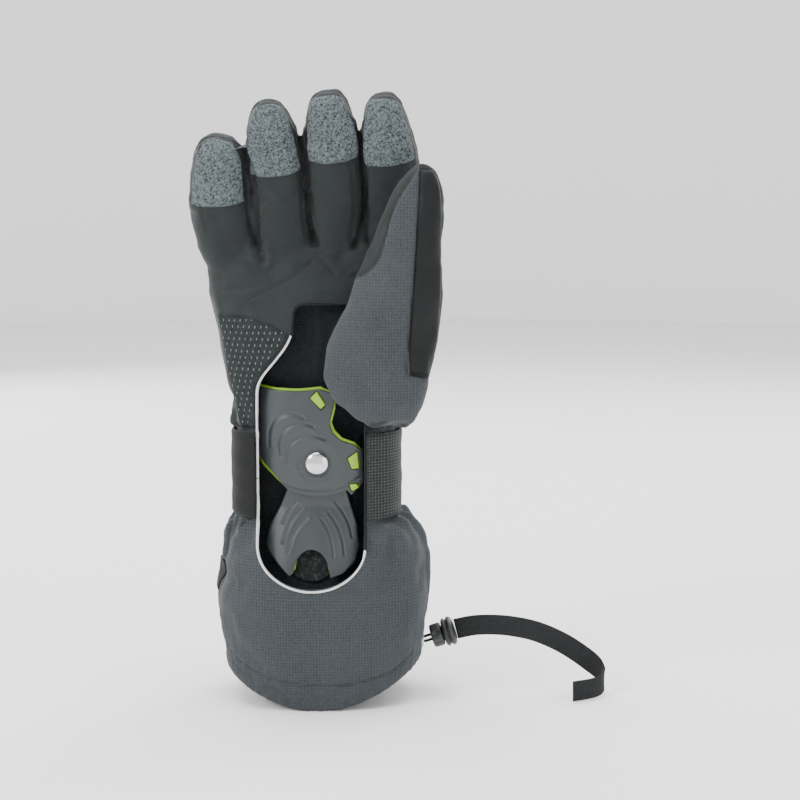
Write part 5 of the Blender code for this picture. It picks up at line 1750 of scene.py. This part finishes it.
def fingertips():
    """Gritty patches from the finger's pad up over its tip."""
    for key, spec in FINGERS.items():
        low = TIP_LOW[key]
        stations = [(s, 0.0) for s in np.linspace(low, 0.9, 34)]
        stations += [(0.9 - 0.1 * math.sin(lean), lean) for lean in np.radians(np.linspace(4, 76, 20))]
        rows = []
        for s, lean in stations:
            row = []
            for angle in np.linspace(math.radians(-90 - 60), math.radians(-90 + 60), 44):
                share = min(s + 0.03 * math.sin(angle), 0.985)
                middle, across, back, a, b = finger_frame(spec, share)
                x, y = superellipse(a, b, angle, FINGER_POWER)
                along = np.cross(across, back)
                direction = (across * x + back * y) * math.cos(lean) + along * abs(y) * math.sin(lean)
                row.append(GLOVE.outward(middle, direction, 20.0 if share < 0.78 and lean == 0 else 40.0))
            rows.append(row)
        place = np.array([[r[0] for r in row] for row in rows])
        normal = np.array([[r[1] for r in row] for row in rows])
        for _ in range(3):
            for grid, keep in ((normal, 0.0), (place, 0.4)):
                around = grid[:-2, 1:-1] + grid[2:, 1:-1] + grid[1:-1, :-2] + grid[1:-1, 2:]
                grid[1:-1, 1:-1] = grid[1:-1, 1:-1] * keep + around * (1 - keep) / 4
        normal /= np.linalg.norm(normal, axis=2)[..., None]
        i, j = np.indices(place.shape[:2])
        border = np.minimum(np.minimum(i, place.shape[0] - 1 - i), np.minimum(j, place.shape[1] - 1 - j))
        rise = 1.0 - 0.6 * np.clip(1 - border / 1.5, 0, 1)
        grit = 0.22 * noise(place, 1.5) + 0.12 * noise(place + 40, 0.8)
        obj = slab("tip_" + key, place + normal * (rise + grit * (border > 0))[..., None], place - normal * 0.6,
                   GRIP)
        ride_piece(obj, "hand", "fingertip_grip", "fingertip_" + key)


def dashes(name, places, look, length, width, height, body_name, slot):
    """Small raised capsules: each place is a point, its normal and a direction."""
    unit = [
        (math.cos(u) * math.cos(v), math.sin(u) * math.cos(v), math.sin(v))
        for v in (-0.9, -0.3, 0.3, 0.9) for u in np.linspace(0, 2 * math.pi, 7, endpoint=False)
    ]
    unit = np.array([(0, 0, -1)] + unit + [(0, 0, 1)])
    faces = [(0, 1 + (i + 1) % 7, 1 + i) for i in range(7)]
    for r in range(3):
        faces += [(1 + r * 7 + i, 1 + r * 7 + (i + 1) % 7, 8 + r * 7 + (i + 1) % 7,
                   8 + r * 7 + i) for i in range(7)]
    faces += [(22 + i, 22 + (i + 1) % 7, 29) for i in range(7)]
    points, all_faces = [], []
    for p, n, d in places:
        d = d - n * np.dot(d, n)
        d /= np.linalg.norm(d) + 1e-9
        s = np.cross(n, d)
        base = len(points) * len(unit)
        points.append(p + unit[:, :1] * s * width / 2 + unit[:, 1:2] * n * height / 2 + unit[:,
            2:] * d * length / 2)
        all_faces += [tuple(base + v for v in face) for face in faces]
    obj = add_mesh(name, np.concatenate(points), all_faces, look)
    if body_name == "hand_blend":
        return hand_piece(obj, slot)
    return ride_piece(obj, body_name, slot)


def stitch_places(line, side, pitch=2.1, lift=0.15, offset=0.0):
    place, normal = GLOVE.run(line, side, pitch)
    along = np.gradient(place, axis=0)
    along /= np.linalg.norm(along, axis=1)[:, None]
    shift = np.cross(normal, along) * offset
    return [(p + n * lift + o, n, d) for p, n, d, o in zip(place, normal, along, shift)]


def stitches():
    cuff, hand, pale = [], [], []
    cuff_lines = (("hem_front", -1), ("hem_back", 1), ("back_cuff_pocket", 1), ("back_cuff_pocket_low", 1),
                  ("back_cuff_side", 1), ("cuff_left", -1))
    for key, side in cuff_lines:
        cuff += stitch_places(SEAMS[key][0], side, 2.2, 0.0, 1.5 if key.startswith("hem") else 1.2)
    for key in ("palm_patch_top", "palm_zigzag", "palm_cross", "thumb_left"):
        hand += stitch_places(SEAMS[key][0], -1, 2.2, 0.05, 1.4)
    for key in ("back_cross", "back_index_top", "back_index", "back_long", "back_low", "back_little_side"):
        for offset in (1.3, -1.3) if key in ("back_cross", "back_low") else (1.3,):
            hand += stitch_places(SEAMS[key][0], 1, 2.2, 0.05, offset)
    pale += stitch_places([(57.2, 300), (57.0, 285), (56.2, 268), (54.8, 250), (53.0, 230), (51.6, 212)], -1,
                          2.4, 0.15, 1.5)
    dashes("cuff_stitches", cuff, THREAD, 1.5, 0.55, 0.45, "forearm", "heather_fabric")
    dashes("hand_stitches", hand, THREAD, 1.5, 0.55, 0.45, "hand", "heather_fabric")
    dashes("thumb_stitches", pale, PALE_THREAD, 1.3, 0.5, 0.45, "hand", "heather_fabric")
    strap = []
    for z in (111.2, 156.4):
        for angle in np.linspace(strap_angle(-44, 1), strap_angle(-28, 1), 9):
            (x, y), n = strap_ring(angle, 1.85 + flap_lift(angle))
            n = np.array((n[0], n[1], 0))
            strap.append((np.array((x, y, z)), n, np.array((-n[1], n[0], 0))))
    dashes("strap_stitches", strap, THREAD, 1.4, 0.5, 0.4, "strap_flap", "strap_webbing")


def palm_reinforcement():
    rows = [(160.5, -43.4, -35.2), (170, -46.0, -35.0), (184, -49.2, -35.0), (191, -50.8, -31.6),
            (199, -52.2, -25.2),
            (207, -53.8, -19.2), (213.5, -54.8, -15.6), (216.5, -55.2, -20.4), (220, -55.6, -29.0),
            (223.6, -56.0, -42.0)]
    obj = patch("palm_reinforcement", PALM_GRIP, rows, -1, 0.7, 0.4, 34, 70)
    hand_piece(obj, "palm_leather", "palm_grip")
    table = np.array(rows)
    places = []
    for row, z in enumerate(np.arange(163.5, 222, 3.4)):
        left, right = np.interp(z, table[:, 0], table[:, 1]) + 2.0, np.interp(z, table[:, 0], table[:, 2]) - 1.6
        for x in np.arange(left + (row % 2) * 1.6, right, 3.2):
            p, n = GLOVE.hit(x, z, -1)
            places.append((p + n * 0.72, n, np.array((0.12, 0, 1.0))))
    dashes("grip_dashes", places, PALE_THREAD, 1.7, 0.7, 0.5, "hand_blend", "palm_leather")


def thumb_side_panel():
    rows = []
    for z in np.linspace(195.5, 305.5, 23):
        edge_x = float(np.interp(z, [163, 192, 209, 250, 298, 309], [58.0, 53.0, 52.2, 55.2, 57.8, 58.0]))
        rows.append((z, edge_x, max(float(tx_right(z)) - 0.8, edge_x + 1.5)))
    obj = patch("thumb_side_panel", rubber("thumb_leather", GUSSET, 0.6, 900.0, 0.3), rows, -1, 0.55, 0.5, 18,
                70)
    ride_piece(obj, "hand", "palm_leather", "thumb_panel")


def index_back_patch():
    rows = [(226.8, 45.6, 50.4), (229, 44.6, 51.4), (235, 43.4, 52.2), (250, 42.0, 53.2), (265, 40.4, 52.6),
            (273, 39.6, 51.4), (278, 40.4, 49.4), (280.6, 42.6, 46.6)]
    obj = patch("index_wiper", PRINT, rows, 1, 1.1, 0.5, 16, 60)
    ride_piece(obj, "hand", "reflective_print", "index_patch")


BADGE_ANGLE, BADGE_Z = 2.655, 195.0


def badge():
    """An oval badge on the back near the little finger: a rubber dish with a light disc and a leaf."""

    def skin(u, v):
        cx, cy, a, b = section(TRUNK, BADGE_Z + v)
        angle = BADGE_ANGLE - u / 46.0
        x, y = superellipse(a, b, angle, POWER)
        return GLOVE.outward((cx + x * 0.7, cy + y * 0.7, BADGE_Z + v), (x / a**2, y / b**2, 0), 30.0)

    def at(u, v, rise):
        p, n = skin(u, v)
        return p + n * rise

    t = np.linspace(0, 2 * math.pi, 72, endpoint=False)

    def oval(r):
        return [(math.cos(a) * 9.4 * r, math.sin(a) * 18.0 * r * (1 + 0.08 * math.sin(a))) for a in t]

    rings = [[at(u, v, rise) for u, v in oval(r)] for r, rise in
             ((1.04, -0.6), (1.04, 1.0), (1.0, 1.9), (0.94, 2.3), (0.86, 2.1), (0.8, 1.4), (0.7, 1.0),
              (0.4, 1.0), (0.05, 1.0))]
    obj = rings_mesh("badge_dish", rings, RUBBER)
    ride_piece(obj, "hand", "tab_rubber", "badge_ring")
    disc = [(math.cos(a) * 5.6, 6.4 + math.sin(a) * 5.2 - 1.9 * max(0, math.sin(a + 2.4)) ** 3) for a in t]
    rings = [[at(u * r, (v - 6.4) * r + 6.4, rise) for u, v in disc] for r,
             rise in ((1.0, 0.6), (1.0, 1.7), (0.9, 1.95), (0.5, 2.05), (0.05, 2.1))]
    obj = rings_mesh("badge_spot", rings, PRINT)
    ride_piece(obj, "hand", "reflective_print", "badge_disc")
    leaf = spline([(-1.6, 3.2), (-4.6, 3.6), (-6.4, 1.0), (-6.9, -4.0), (-5.0, -10.5), (-1.2, -15.2),
                   (0.8, -15.6)], 0.6)
    path = np.array([at(u, v, 1.8) for u, v in leaf])
    width = 0.5 + 1.5 * np.sin(np.linspace(0.15, math.pi - 0.05, len(path)))
    normal = np.array([skin(u, v)[1] for u, v in leaf])
    obj = tube("badge_leaf", path, width, 0.7, PRINT, up=normal, sides=10)
    ride_piece(obj, "hand", "reflective_print")


def back_swirl():
    """A plain looped line on the back of the hand, in place of the original's script."""
    t = np.linspace(0, 1, 160)
    line = np.column_stack([20 - 38 * t + 5.5 * np.sin(t * 7 * math.pi),
                            238 - 16 * t + 7.0 * np.cos(t * 7 * math.pi) * (1 - 0.45 * t)])
    place, normal = GLOVE.run([tuple(p) for p in line], 1, 0.8, curve=False, lift=0.1)
    obj = tube("back_swirl", place, 1.25, 0.7, PRINT, up=normal, sides=8)
    ride_piece(obj, "hand", "reflective_print")


def side_tag():
    def ends(z, angle):
        cx, cy, a, b = section(TRUNK, z)
        x, y = superellipse(a, b, angle, POWER)
        p, n = GLOVE.outward((cx + x, cy + y, z), (x, y * 0.4, 0), 20)
        return p + n * 0.9, p - n * 0.5

    turns = np.linspace(math.radians(176), math.radians(187), 16)
    obj = sheet("side_tag", np.linspace(63, 81, 14), turns, ends, DARK_LABEL)
    ride_piece(obj, "forearm", "woven_label", "side_label")


def cuff_hook():
    """A two-armed hook on a ribbed tape, with a loop of cord, on the thumb side of the cuff's back."""
    angle = math.radians(38)
    cx, cy, a, b = section(TRUNK, 58.0)
    x, y = superellipse(a, b, angle, POWER)
    centre, out = GLOVE.outward((cx + x, cy + y, 58.0), (x, y * 1.6, 0), 30)
    out[2] = 0
    out /= np.linalg.norm(out)
    centre = centre + out * 2.4
    across = np.cross((0, 0, 1.0), out)

    def at(u, v, rise):
        return centre + across * u + np.array((0, 0, v)) + out * rise

    outline = [(-5.5, 9.0), (5.5, 9.0), (5.5, 3.0), (2.2, 1.0), (2.2, -2.0), (5.4, -1.4), (8.0, 0.2),
               (10.0, 3.0), (11.0, 5.7)]
    outline += [(13.2, 4.6), (12.2, -0.4), (10.0, -3.6), (6.4, -5.4), (2.2, -6.0), (2.2, -10.0), (-2.2, -10.0),
                (-2.2, -6.0)]
    outline += [(-6.0, -6.0), (-9.4, -4.6), (-13.0, -0.5), (-11.2, 1.4), (-7.8, -1.8), (-5.0, -2.4),
                (-2.2, -2.0), (-2.2, 1.0), (-5.5, 3.0)]
    obj = prism("hook", outline, -1.6, 1.6)
    cut(obj, prism("hook_slot", [(-3.7, 7.4), (3.7, 7.4), (3.7, 4.6), (-3.7, 4.6)], -5, 5))
    apply(obj, "REMESH", mode="VOXEL", voxel_size=0.45 * MM)
    apply(obj, "SMOOTH", factor=0.5, iterations=4)
    points = read(obj)
    write(obj, np.array([at(u, v, -w) for u, w, v in points]))
    dress(obj, CLIP)
    ride_piece(obj, "forearm", "clip_plastic", "glove_clip")

    def tape_ends(row, u):
        i, z = row
        rib = 0.22 * math.cos(i * math.pi / 1.5)
        if z < 9.5:
            p = at(u, z + 1.8, 0.0) - out * 1.9
        else:
            base, _ = GLOVE.outward(centre + across * u + np.array((0, 0, z)), out, 20)
            p = base + out * 0.2
        return p + out * (1.3 + rib), p - out * 0.3

    tape = webbing_look("ribbed_tape", rgb(96, 98, 99), rgb(150, 152, 152), 0.9)
    rows = list(enumerate(np.linspace(-4.2, 28.0, 60)))
    obj = sheet("hook_tape", rows, np.linspace(-3.5, 3.5, 9), tape_ends, tape)
    ride_piece(obj, "forearm", "strap_webbing", "clip_tape")
    loop = [at(-1.2, -9.0, 0.6), at(-2.4, -18, 1.6), at(-2.0, -30, 1.2), at(-0.4, -37, 0.9), at(1.6, -31, 1.4),
            at(2.2, -18, 2.2), at(1.2, -9.0, 0.8)]
    obj = tube("hook_loop", spline(loop, 0.6), 1.7, 1.7, CORD, sides=10)
    ride_piece(obj, "forearm", "strap_webbing")


fleece()
hem_roll()
window_edges()
brace()
strap_pieces()
fingertips()
palm_reinforcement()
thumb_side_panel()
index_back_patch()
badge()
back_swirl()
side_tag()
cuff_hook()
stitches()


# CAD nodes that stay in view get their own looks
for node, look in (("pivot_washer", NYLON), ("rivet_burr", STEEL), ("cord_eyelet", STEEL),
                   ("forearm_plate_core", LIME)):
    for obj in [o for o in bpy.data.objects if o.type == "MESH" and o.name == node]:
        dress(obj, look)


# Stage --------------------------------------------------------------------------------------------


def plain(name, color=(0.93, 0.93, 0.93)):
    """A matt surface with the faintest unevenness."""
    look = Look(name, 0.9)
    drift = look.noise(6.0, 1.0)
    look.color(look.mix(drift, shade(color, 0.995), color))
    return look.made


STAGE_REACH = 2500


corners = [(STAGE_REACH * u, STAGE_REACH * v, 0) for u, v in ((-1, -1), (1, -1), (1, 1), (-1, 1))]
floor = add_mesh("floor", corners, [(0, 1, 2, 3)], plain("floor_look"))
turn = np.radians(np.linspace(0, 360, 73)[:-1])
rings = [[(STAGE_REACH * math.cos(a), STAGE_REACH * math.sin(a), z) for a in turn] for z in (-20, 600, 1500)]
wall = rings_mesh("backdrop", rings, plain("backdrop_look"), caps=False)


def softbox(name, place, size, power):
    light = bpy.data.objects.new(name, bpy.data.lights.new(name, "AREA"))
    light.data.shape = "RECTANGLE"
    light.data.size, light.data.size_y = size
    light.data.energy = power
    light.location = place
    light.rotation_euler = (Vector((0.03, 0, 0.17)) - light.location).to_track_quat("-Z", "Y").to_euler()
    bpy.context.scene.collection.objects.link(light)
    return light


lights = [
    softbox("key", (-1.0, -0.85, 0.95), (0.6, 0.6), 15),
    softbox("fill", (0.95, -1.0, 0.35), (0.8, 0.8), 3),
    softbox("top", (0.0, 0.1, 1.6), (1.6, 1.6), 38),
    softbox("back_fill", (-0.7, 1.3, 0.7), (0.9, 0.9), 14),
    softbox("back_key", (0.9, 1.1, 0.9), (0.7, 0.7), 12),
]
world = bpy.data.worlds.new("studio")
world.use_nodes = True
world.node_tree.nodes["Background"].inputs[0].default_value = (1, 1, 1, 1)
world.node_tree.nodes["Background"].inputs[1].default_value = 0.85
bpy.context.scene.world = world
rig.stage(floor, wall, *lights)

with open("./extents.json", "w") as out:
    json.dump({"cad": [list(map(float, np.ravel(CAD_BOX)))],
               "visual": [list(map(float, np.ravel(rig.bounds())))]}, out)
